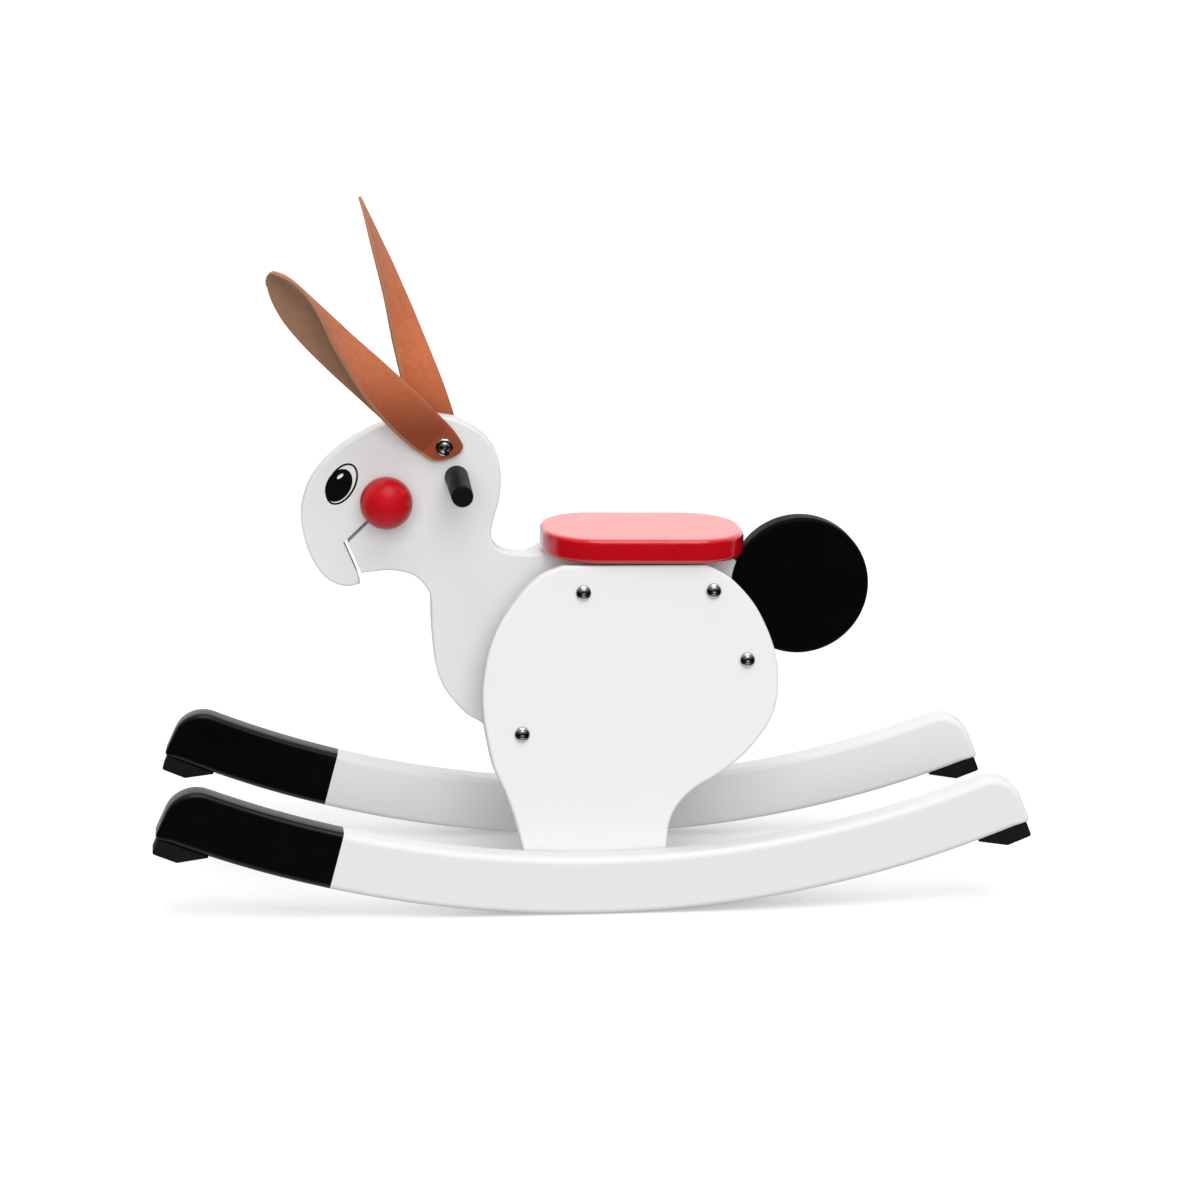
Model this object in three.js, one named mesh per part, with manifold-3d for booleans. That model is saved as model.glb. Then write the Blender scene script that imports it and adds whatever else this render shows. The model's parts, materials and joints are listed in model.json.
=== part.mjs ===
// A child's rocking rabbit: a lacquered centre board with a round tail, two splayed haunch panels,
// a pair of rockers with rubber stops, a seat, a handle rod, cheek balls and two leather ears.
// Units are millimetres. X runs from the nose (-) to the tail (+), Y across, Z up.
// The origin lies on the floor, under the middle of the rockers.
import * as THREE from 'three';
import { mergeVertices } from 'three/addons/utils/BufferGeometryUtils.js';
import Module from 'manifold-3d';

const wasm = await Module();
wasm.setup();

// ---- driving dimensions -------------------------------------------------------------------
const GAP = 0.3; // clearance between pieces that touch
const degrees = Math.PI / 180;

const ROCKER_RADIUS = 1100;
const ROCKER_HALF_LENGTH = 431.2;
const ROCKER_HEIGHT = 58;
const ROCKER_THICKNESS = 28;
const ROCKER_SPREAD = 123; // from the middle plane to the middle of each rocker
const ROCKER_TOE = 1.73 * degrees; // the rockers stand wider at the nose
const ROCKER_FLATS = 17; // odd, so that one flat lies on the floor
const TIP_RADIUS = { sole: 4, top: 32 };
// Where the sole and the top pass into the rounded tips.
const ROCKER_ANGLES = { sole: 22.65 * degrees, top: 21.15 * degrees };

const STOP_WIDTH = 24;
const STOP_DEPTH = 16;
const STOP_ANGLES = { tip: 22.88 * degrees, heel: 21.56 * degrees, taper: 20.21 * degrees };
const STOP_SCREW_ANGLE = 22.2 * degrees;
const STOP_SCREW = { head: 3.5, headHeight: 2.5, shank: 2, length: 26, pocket: 3.8, sunk: 5 };

const PANEL_LEAN = 9.5 * degrees; // the haunch panels lean in towards the seat
const PANEL_THICKNESS = 20;
const PANEL_FOLD_HEIGHT = 62; // where the leaning face meets the rocker's inner face
const PANEL_FOOT_HEIGHT = 14;
const PANEL_SHIFT = 1.1;

const BOARD_THICKNESS = 24;
const SEAT = { start: -52, end: 149.6, width: 135, corner: 55, bottom: 337, top: 361 };
const TAIL = { x: 210, z: 301.6, radius: 70, thickness: 26 };
const BALL = { x: -207.7, y: 36, z: 391.2, radius: 25.8 };
const HANDLE = { x: -137.9, z: 412.3, reach: 107, middle: 11.6, end: 10.5 };

const EAR_SCREW = { x: -150.8, z: 443.7, shank: 2.5, head: 5.5, headHeight: 3.2, socket: 1.8 };
const EAR_WASHER = { radius: 8.5, rim: 7, edge: 0.5, thickness: 1.5 };
const EAR_THICKNESS = 3;
const EAR_TILT = { left: 46.4 * degrees, right: 23.4 * degrees }; // forward of upright, at rest

const BOLT = { shank: 3, head: 7.6, headHeight: 4.2, socket: 2.3 };
const INSERT = { radius: 4.5, length: 8, sunk: 1.3 };
const SPACER_RADIUS = 16;
// Bolt places on the outer face of a haunch panel: length and height.
const BOLTS = {
  front_upper: [-15, 308.6],
  rear_upper: [114.5, 309.4],
  rear_lower: [148.6, 241.7],
  front_lower: [-75.4, 172],
};
const FOOT_SCREWS = { front: -40, rear: 30, height: 35 };
const FOOT_SCREW = { head: 4, headHeight: 3, shank: 2, length: 26, pocket: 4.3, reach: 8 };
const SEAT_DOWELS = { front: 15, rear: 85 };
const SEAT_DOWEL = { radius: 5, inBoard: 15, inSeat: 13 };
const TAIL_DOWELS = { upper: 175 * degrees, lower: 210 * degrees };
const TAIL_DOWEL = { radius: 4, inDisc: 16, inBoard: 14 };
const CHEEK_DOWEL = { radius: 5, reach: 26 };
const CHAMFER = { board: 1.8, panel: 2, rocker: 3.5, seat: 3, tail: 3 };

const SIDES = { left: -1, right: 1 };

// ---- materials ----------------------------------------------------------------------------
function finish(color, roughness, metalness = 0) {
  return () => new THREE.MeshStandardMaterial({ color, roughness, metalness });
}
const whiteLacquer = finish(0xececea, 0.35);
const blackLacquer = finish(0x121214, 0.25);
const redLacquer = finish(0xc00a18, 0.2);
const tanLeather = finish(0xc0683c, 0.7);
const blackRubber = finish(0x1c1c1d, 0.85);
const darkChrome = finish(0x55585c, 0.25, 1);
const zincSteel = finish(0xa9adb2, 0.4, 1);
const brass = finish(0xb58e46, 0.4, 1);
const rawBeech = finish(0xcfa777, 0.75);

// ---- solids -------------------------------------------------------------------------------
// Turns a closed geometry into a manifold solid with its faces pointing out.
function solid(geometry) {
  const bare = geometry.clone();
  for (const name of Object.keys(bare.attributes)) {
    if (name !== 'position') bare.deleteAttribute(name);
  }
  const merged = mergeVertices(bare, 1e-4);
  const triVerts = withoutSlivers(merged.index.array);
  const vertProperties = new Float32Array(merged.attributes.position.array);
  if (volumeOf(vertProperties, triVerts) < 0) triVerts.reverse();
  return new wasm.Manifold(new wasm.Mesh({ numProp: 3, vertProperties, triVerts }));
}

function withoutSlivers(index) {
  const kept = [];
  for (let i = 0; i < index.length; i += 3) {
    const [a, b, c] = [index[i], index[i + 1], index[i + 2]];
    if (a !== b && b !== c && c !== a) kept.push(a, b, c);
  }
  return new Uint32Array(kept);
}

function volumeOf(positions, triangles) {
  const corner = (i) => new THREE.Vector3().fromArray(positions, 3 * triangles[i]);
  let sum = 0;
  for (let i = 0; i < triangles.length; i += 3) {
    sum += corner(i).dot(corner(i + 1).cross(corner(i + 2)));
  }
  return sum / 6;
}

function geometryOf(manifold) {
  const { numProp, vertProperties, triVerts } = manifold.getMesh();
  const positions = new Float32Array((vertProperties.length / numProp) * 3);
  for (let i = 0; i < positions.length / 3; i++) {
    for (let k = 0; k < 3; k++) positions[3 * i + k] = vertProperties[numProp * i + k];
  }
  const geometry = new THREE.BufferGeometry();
  geometry.setAttribute('position', new THREE.BufferAttribute(positions, 3));
  geometry.setIndex(new THREE.BufferAttribute(new Uint32Array(triVerts), 1));
  geometry.computeVertexNormals();
  return geometry;
}

function moved(geometry, matrix) {
  return solid(geometry.clone().applyMatrix4(matrix));
}

function placed(x, y, z) {
  return new THREE.Matrix4().makeTranslation(x, y, z);
}

// A plate of the given outline standing in the XZ plane, centred on Y, with chamfered edges.
function uprightPlate(shape, thickness, chamfer, curveSegments = 4) {
  const geometry = flatPlate(shape, thickness, chamfer, curveSegments);
  geometry.rotateX(Math.PI / 2);
  return geometry;
}

function flatPlate(shape, thickness, chamfer, curveSegments) {
  const depth = thickness - 2 * chamfer;
  const geometry = new THREE.ExtrudeGeometry(shape, {
    depth,
    curveSegments,
    bevelEnabled: chamfer > 0,
    bevelThickness: chamfer,
    bevelSize: chamfer,
    bevelOffset: -chamfer,
    bevelSegments: 1,
  });
  geometry.translate(0, 0, -depth / 2);
  return geometry;
}

// A turned piece about the Y axis. Its profile is a list of [radius, y].
function turned(profile, segments) {
  const points = profile.map(([radius, y]) => new THREE.Vector2(radius, y));
  return new THREE.LatheGeometry(points, segments);
}

function cylinder(radius, from, to, segments = 12) {
  return turned([[0, from], [radius, from], [radius, to], [0, to]], segments);
}

function sleeve(outer, inner, from, to, segments) {
  return turned([[inner, from], [outer, from], [outer, to], [inner, to], [inner, from]], segments);
}

function vectors(pairs) {
  return pairs.map(([x, y]) => new THREE.Vector2(x, y));
}

// Draws an outline from stretches: { line: [...] } has corners, { curve: [...] } is smooth.
function outline(start, stretches) {
  const shape = new THREE.Shape();
  shape.moveTo(...start);
  for (const { line, curve } of stretches) {
    if (line) line.forEach(([x, y]) => shape.lineTo(x, y));
    if (curve) shape.splineThru(vectors(curve));
  }
  return shape;
}

// Corners along an arc in the XZ plane.
function arc(centre, radius, from, to, steps) {
  return Array.from({ length: steps + 1 }, (_, i) => {
    const angle = from + ((to - from) * i) / steps;
    return [centre.x + radius * Math.cos(angle), centre.z + radius * Math.sin(angle)];
  });
}

const root = new THREE.Group();

function piece(name, geometry, material, parent = root) {
  const mesh = new THREE.Mesh(geometry, material());
  mesh.name = name;
  parent.add(mesh);
  return mesh;
}

// ---- places of the two sides --------------------------------------------------------------
// Each side group stands in the middle of its rocker; its panel group is hinged on the rocker's
// inner face and leans in, so that the panel's outer face is the plane Y = 0.
const sideGroups = {};
const panelGroups = {};
for (const [name, side] of Object.entries(SIDES)) {
  const sideGroup = new THREE.Group();
  sideGroup.position.y = side * ROCKER_SPREAD;
  sideGroup.rotation.z = -side * ROCKER_TOE;
  const panelGroup = new THREE.Group();
  panelGroup.position.set(PANEL_SHIFT, -side * (ROCKER_THICKNESS / 2 + GAP), PANEL_FOLD_HEIGHT);
  panelGroup.rotation.x = side * PANEL_LEAN;
  sideGroup.add(panelGroup);
  root.add(sideGroup);
  sideGroups[name] = sideGroup;
  panelGroups[name] = panelGroup;
}
root.updateMatrixWorld(true);

function inPanel(height) {
  return (height - PANEL_FOLD_HEIGHT) / Math.cos(PANEL_LEAN);
}

// The matrix of a bolt: its Y axis runs from the panel's outer face inwards, as for a left bolt.
function boltMatrix(sideName, [x, height]) {
  const turn = SIDES[sideName] < 0 ? 0 : Math.PI;
  const local = placed(x, 0, inPanel(height)).multiply(new THREE.Matrix4().makeRotationZ(turn));
  return panelGroups[sideName].matrixWorld.clone().multiply(local);
}

// How far along a bolt's axis the centre board's face lies.
function reachToBoard(matrix) {
  const start = new THREE.Vector3().setFromMatrixPosition(matrix);
  const along = new THREE.Vector3(0, 1, 0).transformDirection(matrix);
  return (Math.abs(start.y) - BOARD_THICKNESS / 2) / Math.abs(along.y);
}

function eachBolt(action) {
  for (const sideName of Object.keys(SIDES)) {
    for (const [place, at] of Object.entries(BOLTS)) {
      action(sideName, place, boltMatrix(sideName, at));
    }
  }
}

// ---- centre board -------------------------------------------------------------------------
function boardOutline() {
  const tailRest = arc(TAIL, TAIL.radius + GAP, 159 * degrees, 230 * degrees, 14);
  const shape = outline([-140.2, 470.5], [
    { curve: [[-119.4, 460], [-105.4, 447.3], [-97.1, 432.1], [-93.8, 411], [-95.3, 389.9],
      [-100.7, 368.6], [-102.7, 354.4], [-99.5, 344.2], [-90, 337.2], [-74, 334.4], [-58, 334.2]] },
    { line: [[-46, SEAT.bottom - GAP], [133, SEAT.bottom - GAP], ...tailRest, [162, 232]] },
  ]);
  shape.splineThru(vectors([[158, 221], [140, 208], [50, 180], [-20, 160], [-62, 144],
    [-80, 142], [-97, 149.5], [-110.2, 160.8], [-124.4, 169.4], [-136.3, 181.6], [-148.3, 198.8],
    [-155.5, 218.1], [-158.6, 239.9], [-160.7, 264], [-162.1, 290.2], [-168, 302.2],
    [-177.5, 311.7], [-191.4, 316.5], [-207.5, 317.7], [-230.7, 315.1]]));
  cutMouth(shape);
  shape.splineThru(vectors([[-244.2, 301.6], [-258, 305.2], [-269.6, 314.2], [-281.1, 333.1],
    [-288, 354.3], [-290.2, 373.1], [-288, 389.5], [-281.2, 408.2], [-267.6, 426.9],
    [-249.4, 443.2], [-231.2, 454.9], [-210.8, 464.7], [-188, 471], [-163, 473.3],
    [-140.2, 470.5]]));
  return shape;
}

// The mouth is a saw cut: up from the jaw to its corner, then back up to the middle of the cheek.
function cutMouth(shape) {
  for (const [x, z] of [[-244.3, 345.6], [-222.2, 367.8], [-224.4, 370], [-248.6, 346.2],
    [-235.3, 316.2], [-231.7, 304.2]]) {
    shape.lineTo(x, z);
  }
}

function seatDowelHole(x, from, to) {
  const stand = new THREE.Matrix4().makeRotationX(Math.PI / 2);
  return moved(cylinder(SEAT_DOWEL.radius + GAP, from, to), placed(x, 0, 0).multiply(stand));
}

// A rod lying on a radius of the tail, seen from its centre at the given angle.
function tailMatrix(angle) {
  const lay = new THREE.Matrix4().makeRotationZ(-Math.PI / 2);
  const aim = new THREE.Matrix4().makeRotationY(-angle);
  return placed(TAIL.x, 0, TAIL.z).multiply(aim).multiply(lay);
}

function centreBoard() {
  let board = solid(uprightPlate(boardOutline(), BOARD_THICKNESS, CHAMFER.board, 2));
  const half = BOARD_THICKNESS / 2 + 1;
  const through = (radius, { x, z }, segments) => {
    board = board.subtract(moved(cylinder(radius, -half, half, segments), placed(x, 0, z)));
  };
  through(HANDLE.middle + GAP, HANDLE, 24);
  through(CHEEK_DOWEL.radius + GAP, BALL, 12);
  through(EAR_SCREW.shank + GAP, EAR_SCREW, 10);
  for (const x of Object.values(SEAT_DOWELS)) {
    const depth = SEAT_DOWEL.inBoard + GAP;
    board = board.subtract(seatDowelHole(x, SEAT.bottom - depth, SEAT.bottom + 1));
  }
  for (const angle of Object.values(TAIL_DOWELS)) {
    const end = TAIL.radius + TAIL_DOWEL.inBoard + GAP;
    const hole = cylinder(TAIL_DOWEL.radius + GAP, TAIL.radius - 2, end, 10);
    board = board.subtract(moved(hole, tailMatrix(angle)));
  }
  eachBolt((sideName, place, matrix) => {
    const face = reachToBoard(matrix);
    const end = face + INSERT.sunk + INSERT.length + GAP;
    board = board.subtract(moved(cylinder(INSERT.radius + GAP, face - 2, end, 10), matrix));
  });
  return geometryOf(board);
}

// ---- haunch panels ------------------------------------------------------------------------
// The outline is drawn in the panel's own plane, with heights measured up the slope.
function panelOutline() {
  const up = (x, slope) => [x, slope - PANEL_FOLD_HEIGHT / Math.cos(PANEL_LEAN)];
  const foot = inPanel(PANEL_FOOT_HEIGHT);
  return outline(up(-34, 339.5), [
    { line: [up(107.5, 339.5)] },
    { curve: [up(118.5, 334.5), up(134, 324.6), up(154.1, 302.7), up(167.7, 278.6),
      up(177.3, 252.2), up(180.4, 230.3), up(179.6, 208.4), up(174.2, 188.8), up(162.2, 169.2),
      up(144.7, 149.7), up(120.6, 131.5), up(103, 121.9), up(88.7, 111.2), up(77.8, 98.3),
      up(71.3, 83.1), up(68.9, 63.4), [66, -24], [62, foot + 4]] },
    { line: [[56, foot], [-54, foot], [-62, foot + 4]] },
    { curve: [[-70, -20], up(-75.2, 64.2), up(-82.9, 92.7), up(-91.7, 116.8), up(-102.6, 140.9),
      up(-108.1, 162.6), up(-112.5, 186.5), up(-114.1, 206), up(-113.4, 225.4),
      up(-108.5, 253.4), up(-98.9, 279.2), up(-83.9, 302.7), up(-66.7, 322), up(-51.6, 332.6),
      up(-34, 339.5)] },
  ]);
}

function haunchPanel(sideName) {
  const side = SIDES[sideName];
  const toPanel = panelGroups[sideName].matrixWorld.clone().invert();
  const fromSide = panelGroups[sideName].matrix.clone().invert();
  const plate = uprightPlate(panelOutline(), PANEL_THICKNESS, CHAMFER.panel, 2);
  plate.translate(0, (-side * PANEL_THICKNESS) / 2, 0);
  let panel = solid(plate);
  const reach = 300;
  const rockerSpace = new THREE.BoxGeometry(reach, reach, reach);
  const inner = ROCKER_THICKNESS / 2 + GAP;
  rockerSpace.translate(0, side * (reach / 2 - inner), PANEL_FOLD_HEIGHT - reach / 2);
  panel = panel.subtract(moved(rockerSpace, fromSide));
  const seatSpace = new THREE.BoxGeometry(2 * reach, 2 * reach, reach);
  seatSpace.translate(0, 0, SEAT.bottom - GAP + reach / 2);
  panel = panel.subtract(moved(seatSpace, toPanel));
  for (const at of Object.values(BOLTS)) {
    const hole = cylinder(BOLT.shank + GAP, -1, PANEL_THICKNESS + 1, 10);
    panel = panel.subtract(moved(hole, toPanel.clone().multiply(boltMatrix(sideName, at))));
  }
  for (const place of ['front', 'rear']) {
    const screw = footScrewMatrix(sideName, place);
    const through = 2 * PANEL_THICKNESS;
    const hole = cylinder(FOOT_SCREW.shank + GAP, -1, through, 10);
    const pocket = cylinder(FOOT_SCREW.pocket, FOOT_SCREW.reach, through, 12);
    panel = panel.subtract(moved(hole, fromSide.clone().multiply(screw)));
    panel = panel.subtract(moved(pocket, fromSide.clone().multiply(screw)));
  }
  return geometryOf(panel);
}

// In the side group: Y runs from the rocker's inner face into the panel's foot.
function footScrewMatrix(sideName, place) {
  const side = SIDES[sideName];
  const turn = side < 0 ? 0 : Math.PI;
  const start = placed(FOOT_SCREWS[place], (-side * ROCKER_THICKNESS) / 2, FOOT_SCREWS.height);
  return start.multiply(new THREE.Matrix4().makeRotationZ(turn));
}

// ---- rockers and stops --------------------------------------------------------------------
// A point on the rocker at an angle from straight down, at a distance from its swing centre.
function swing(angle, radius) {
  return [radius * Math.sin(angle), ROCKER_RADIUS - radius * Math.cos(angle)];
}

// The rounded tip of a rocker: a small fillet at the sole and a large one at the top.
function tipPoints(direction) {
  const endAngle = Math.asin(ROCKER_HALF_LENGTH / ROCKER_RADIUS);
  const points = [];
  const fillet = (radius, distance, from, to, steps) => {
    const middle = endAngle - Math.asin(radius / distance);
    const [x, z] = swing(middle, distance);
    for (let i = 0; i <= steps; i++) {
      const angle = endAngle + from + ((to - from) * i) / steps;
      points.push([x + radius * Math.sin(angle), z - radius * Math.cos(angle)]);
    }
  };
  const sole = TIP_RADIUS.sole;
  const top = TIP_RADIUS.top;
  fillet(sole, ROCKER_RADIUS - sole, 0, Math.PI / 2, 2);
  fillet(top, ROCKER_RADIUS - ROCKER_HEIGHT + top, Math.PI / 2, Math.PI, 5);
  return points.map(([x, z]) => [direction * x, z]);
}

function rockerOutline() {
  const { sole, top } = ROCKER_ANGLES;
  const half = sole / ROCKER_FLATS;
  const points = [];
  for (let i = 0; i <= ROCKER_FLATS; i++) {
    points.push(swing(-sole + 2 * half * i, ROCKER_RADIUS / Math.cos(half)));
  }
  points.push(...tipPoints(1));
  for (let i = 0; i <= ROCKER_FLATS; i++) {
    const angle = top - (2 * top * i) / ROCKER_FLATS;
    points.push(swing(angle, ROCKER_RADIUS - ROCKER_HEIGHT));
  }
  points.push(...tipPoints(-1).reverse());
  return new THREE.Shape(vectors(points));
}

// Y runs outwards from the swing centre, through the stop's screw.
function stopMatrix(direction) {
  const tilt = direction * STOP_SCREW_ANGLE;
  const aim = new THREE.Matrix4().makeRotationY(-tilt);
  const point = new THREE.Matrix4().makeRotationX(-Math.PI / 2);
  return placed(0, 0, ROCKER_RADIUS).multiply(aim).multiply(point);
}

function rocker(sideName) {
  let body = solid(uprightPlate(rockerOutline(), ROCKER_THICKNESS, CHAMFER.rocker));
  for (const direction of [-1, 1]) {
    const depth = STOP_SCREW.length + STOP_SCREW.sunk + GAP - STOP_DEPTH;
    const hole = cylinder(STOP_SCREW.shank + GAP, ROCKER_RADIUS - depth - 1, ROCKER_RADIUS + 1, 10);
    body = body.subtract(moved(hole, stopMatrix(direction)));
  }
  for (const place of ['front', 'rear']) {
    const depth = FOOT_SCREW.length - FOOT_SCREW.reach;
    const hole = cylinder(FOOT_SCREW.shank + GAP, -depth - 1, 1, 10);
    body = body.subtract(moved(hole, footScrewMatrix(sideName, place)));
  }
  return geometryOf(body);
}

function rubberStop(direction) {
  const inner = ROCKER_RADIUS + 1 + GAP;
  const { tip, heel, taper } = STOP_ANGLES;
  const steps = 4;
  const points = [];
  for (let i = 0; i <= steps; i++) points.push(swing(taper + ((tip - taper) * i) / steps, inner));
  points.push(swing(tip, ROCKER_RADIUS + STOP_DEPTH - 2));
  points.push(swing(tip - 0.1 * degrees, ROCKER_RADIUS + STOP_DEPTH));
  points.push(swing(heel, ROCKER_RADIUS + STOP_DEPTH));
  points.push(swing(taper, inner + 1.5));
  const shape = new THREE.Shape(vectors(points.map(([x, z]) => [direction * x, z])));
  let stop = solid(uprightPlate(shape, STOP_WIDTH, 0));
  const sole = ROCKER_RADIUS + STOP_DEPTH;
  const hole = cylinder(STOP_SCREW.shank + GAP, ROCKER_RADIUS - 1, sole + 1, 10);
  const pocket = cylinder(STOP_SCREW.pocket, sole - STOP_SCREW.sunk, sole + 1, 12);
  stop = stop.subtract(moved(hole, stopMatrix(direction)));
  stop = stop.subtract(moved(pocket, stopMatrix(direction)));
  return geometryOf(stop);
}

// ---- seat, tail, balls, handle ------------------------------------------------------------
function seatBoard() {
  const { start, end, width, corner, bottom, top } = SEAT;
  const half = width / 2;
  const shape = new THREE.Shape();
  shape.absarc(end - corner, half - corner, corner, 0, Math.PI / 2, false);
  shape.absarc(start + corner, half - corner, corner, Math.PI / 2, Math.PI, false);
  shape.absarc(start + corner, corner - half, corner, Math.PI, 1.5 * Math.PI, false);
  shape.absarc(end - corner, corner - half, corner, 1.5 * Math.PI, 2 * Math.PI, false);
  const plate = flatPlate(shape, top - bottom, CHAMFER.seat, 5);
  let seat = moved(plate, placed(0, 0, (top + bottom) / 2));
  for (const x of Object.values(SEAT_DOWELS)) {
    seat = seat.subtract(seatDowelHole(x, bottom - 1, bottom + SEAT_DOWEL.inSeat + GAP));
  }
  return geometryOf(seat);
}

function tailDisc() {
  const half = TAIL.thickness / 2;
  const chamfer = CHAMFER.tail;
  const profile = [[0, -half], [TAIL.radius - chamfer, -half], [TAIL.radius, chamfer - half],
    [TAIL.radius, half - chamfer], [TAIL.radius - chamfer, half], [0, half]];
  let disc = moved(turned(profile, 48), placed(TAIL.x, 0, TAIL.z));
  for (const angle of Object.values(TAIL_DOWELS)) {
    const start = TAIL.radius - TAIL_DOWEL.inDisc - GAP;
    const hole = cylinder(TAIL_DOWEL.radius + GAP, start, TAIL.radius + 2, 10);
    disc = disc.subtract(moved(hole, tailMatrix(angle)));
  }
  return geometryOf(disc);
}

// The ball stands on a small flat against the board, around a blind hole for the dowel.
function cheekBall() {
  const flat = BOARD_THICKNESS / 2 + GAP - BALL.y;
  const hole = CHEEK_DOWEL.radius + GAP;
  const depth = CHEEK_DOWEL.reach + GAP - BALL.y;
  const start = Math.asin(flat / BALL.radius);
  const profile = [[0, depth], [hole, depth], [hole, flat]];
  const steps = 9;
  for (let i = 0; i < steps; i++) {
    const angle = start + ((Math.PI / 2 - start) * i) / steps;
    profile.push([BALL.radius * Math.cos(angle), BALL.radius * Math.sin(angle)]);
  }
  profile.push([0, BALL.radius]);
  return turned(profile, 20);
}

function handleRod() {
  const { reach, middle, end } = HANDLE;
  const neck = BOARD_THICKNESS / 2 + 3;
  const rim = 3;
  const half = [[middle, neck], [end, reach - rim], [end - 0.9, reach - 0.9], [end - rim, reach]];
  const mirrored = half.map(([radius, y]) => [radius, -y]).reverse();
  return turned([[0, -reach], ...mirrored, ...half, [0, reach]], 20);
}

// ---- fasteners ----------------------------------------------------------------------------
// A domed screw with its head at negative Y, seated at Y = -GAP, and its tip at Y = length.
function domedScrew({ shank, head, headHeight, socket }, length, segments = 12) {
  const seatY = -GAP;
  const profile = [[0, seatY - headHeight], [head * 0.5, seatY - headHeight * 0.93],
    [head * 0.82, seatY - headHeight * 0.66], [head, seatY - headHeight * 0.2], [head, seatY],
    [shank, seatY], [shank, length], [0, length]];
  const key = cylinder(socket, seatY - headHeight - 1, seatY - headHeight * 0.4, 6);
  return solid(turned(profile, segments)).subtract(solid(key));
}

function woodScrew({ head, headHeight, shank, length }) {
  const profile = [[0, -headHeight], [head, -headHeight], [head, -0.6 * headHeight], [shank, 0],
    [shank, length - 3], [0, length]];
  const slot = new THREE.BoxGeometry(head * 1.3, 0.8, 1).translate(0, -headHeight, 0);
  return solid(turned(profile, 10)).subtract(solid(slot));
}

function spacer(sideName, matrix) {
  const start = PANEL_THICKNESS + GAP;
  const tube = sleeve(SPACER_RADIUS, BOLT.shank + GAP, start, reachToBoard(matrix) + 20, 14);
  const boardSpace = new THREE.BoxGeometry(1000, BOARD_THICKNESS + 2 * GAP, 1000);
  boardSpace.translate(0, 0, 300);
  const far = SIDES[sideName] * 500;
  const farSide = new THREE.BoxGeometry(1000, 1000, 1000).translate(0, -far, 300);
  return moved(tube, matrix).subtract(solid(boardSpace)).subtract(solid(farSide));
}

function earWasher() {
  const { radius, rim, edge, thickness } = EAR_WASHER;
  const bore = EAR_SCREW.shank + GAP;
  return turned([[bore, 0], [radius, 0], [radius, edge], [rim, thickness], [bore, thickness],
    [bore, 0]], 16);
}

// ---- ears ---------------------------------------------------------------------------------
// Values along the ear, measured from its screw towards the tip.
const EAR_LENGTH = 244;
const EAR_START = -15;
const EAR_HALF_WIDTH = [[EAR_START, 4], [-14.4, 8.5], [-13, 14.5], [-11, 20], [-6, 29.3], [0, 35.3],
  [12, 39.2], [25, 41.5], [55, 43.5],
  [100, 44.5], [140, 45.2], [175, 44.8], [200, 42.3], [218, 37.5], [230, 31.5], [238, 24],
  [242, 17], [244, 10]];
// How far forward of the screw's line the fold lies, and how far out the ear leans.
const EAR_SPINE = {
  left: [[EAR_START, -9], [-14, -10.8], [-13, -11.8], [-11, -12.8], [-6, -14.6], [4, -16.6],
    [25, -18.3], [60, -20.2], [100, -20.5], [150, -20.4], [200, -20.6], [230, -19.6], [244, -14.5]],
  right: [[EAR_START, -9], [-14, -10.8], [-13, -11.8], [-11, -12.8], [-6, -14.6], [4, -17],
    [25, -20], [60, -22.2], [100, -22.7], [150, -22.4], [200, -20.7], [244, -18]],
};
const EAR_LEAN = [[EAR_START, 0], [12, 0], [40, 11], [75, 23.5], [120, 38], [180, 54], [244, 68.5]];
// Angles in degrees by which the outer and inner halves have swung open from the closed fold.
const EAR_OPENING = {
  left: {
    outer: [[EAR_START, 0], [12, 0], [40, 7], [70, 22], [100, 38.5], [125, 53], [150, 66.5],
      [164, 73.5], [175, 80], [189, 87], [200, 91.5], [212, 95], [225, 95.5], [244, 94]],
    inner: [[EAR_START, 0], [12, 0], [244, 12.3]],
  },
  right: {
    outer: [[EAR_START, 0], [12, 0], [40, 14.5], [70, 30.5], [100, 43.5], [125, 54], [150, 63],
      [175, 70], [200, 76], [225, 83], [244, 89]],
    inner: [[EAR_START, 0], [12, 0], [40, 14.5], [70, 30.5], [100, 43.5], [125, 54], [150, 63],
      [175, 70], [200, 76], [225, 83], [244, 89]],
  },
};

function along(table, s) {
  let i = 1;
  while (i < table.length - 1 && table[i][0] < s) i += 1;
  const [[s0, v0], [s1, v1]] = [table[i - 1], table[i]];
  return v0 + ((v1 - v0) * (s - s0)) / (s1 - s0);
}

// The radius of the fold: tight at the screw, open at the tip.
function earBend(s) {
  const part = Math.max(0, s - 12) / 226;
  return Math.min(2 + 10 * part ** 1.2, along(EAR_HALF_WIDTH, s) * 0.45);
}

// Middle line of the folded leaf at s, as [p, n, direction]: p forward, n out from the screw.
function earMiddle(name, s, steps) {
  const radius = earBend(s);
  const centre = [along(EAR_SPINE[name], s) + radius, along(EAR_LEAN, s)];
  const points = [];
  const half = (open, sign) => {
    const tangent = open * degrees;
    const sweep = Math.PI / 2 - tangent;
    const straight = along(EAR_HALF_WIDTH, s) - radius * sweep;
    const start = [centre[0] - radius * Math.sin(tangent),
      centre[1] + sign * radius * Math.cos(tangent)];
    const list = [];
    for (let i = 0; i <= steps; i++) {
      const run = straight * (1 - i / steps);
      list.push([start[0] + run * Math.cos(tangent), start[1] + sign * run * Math.sin(tangent),
        sign * tangent]);
    }
    for (let i = 1; i < steps; i++) {
      const angle = tangent + (sweep * i) / steps;
      list.push([centre[0] - radius * Math.sin(angle), centre[1] + sign * radius * Math.cos(angle),
        sign * angle]);
    }
    return list;
  };
  points.push(...half(along(EAR_OPENING[name].outer, s), 1));
  points.push([centre[0] - radius, centre[1], Math.PI / 2]);
  points.push(...half(along(EAR_OPENING[name].inner, s), -1).reverse());
  return points;
}

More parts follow.
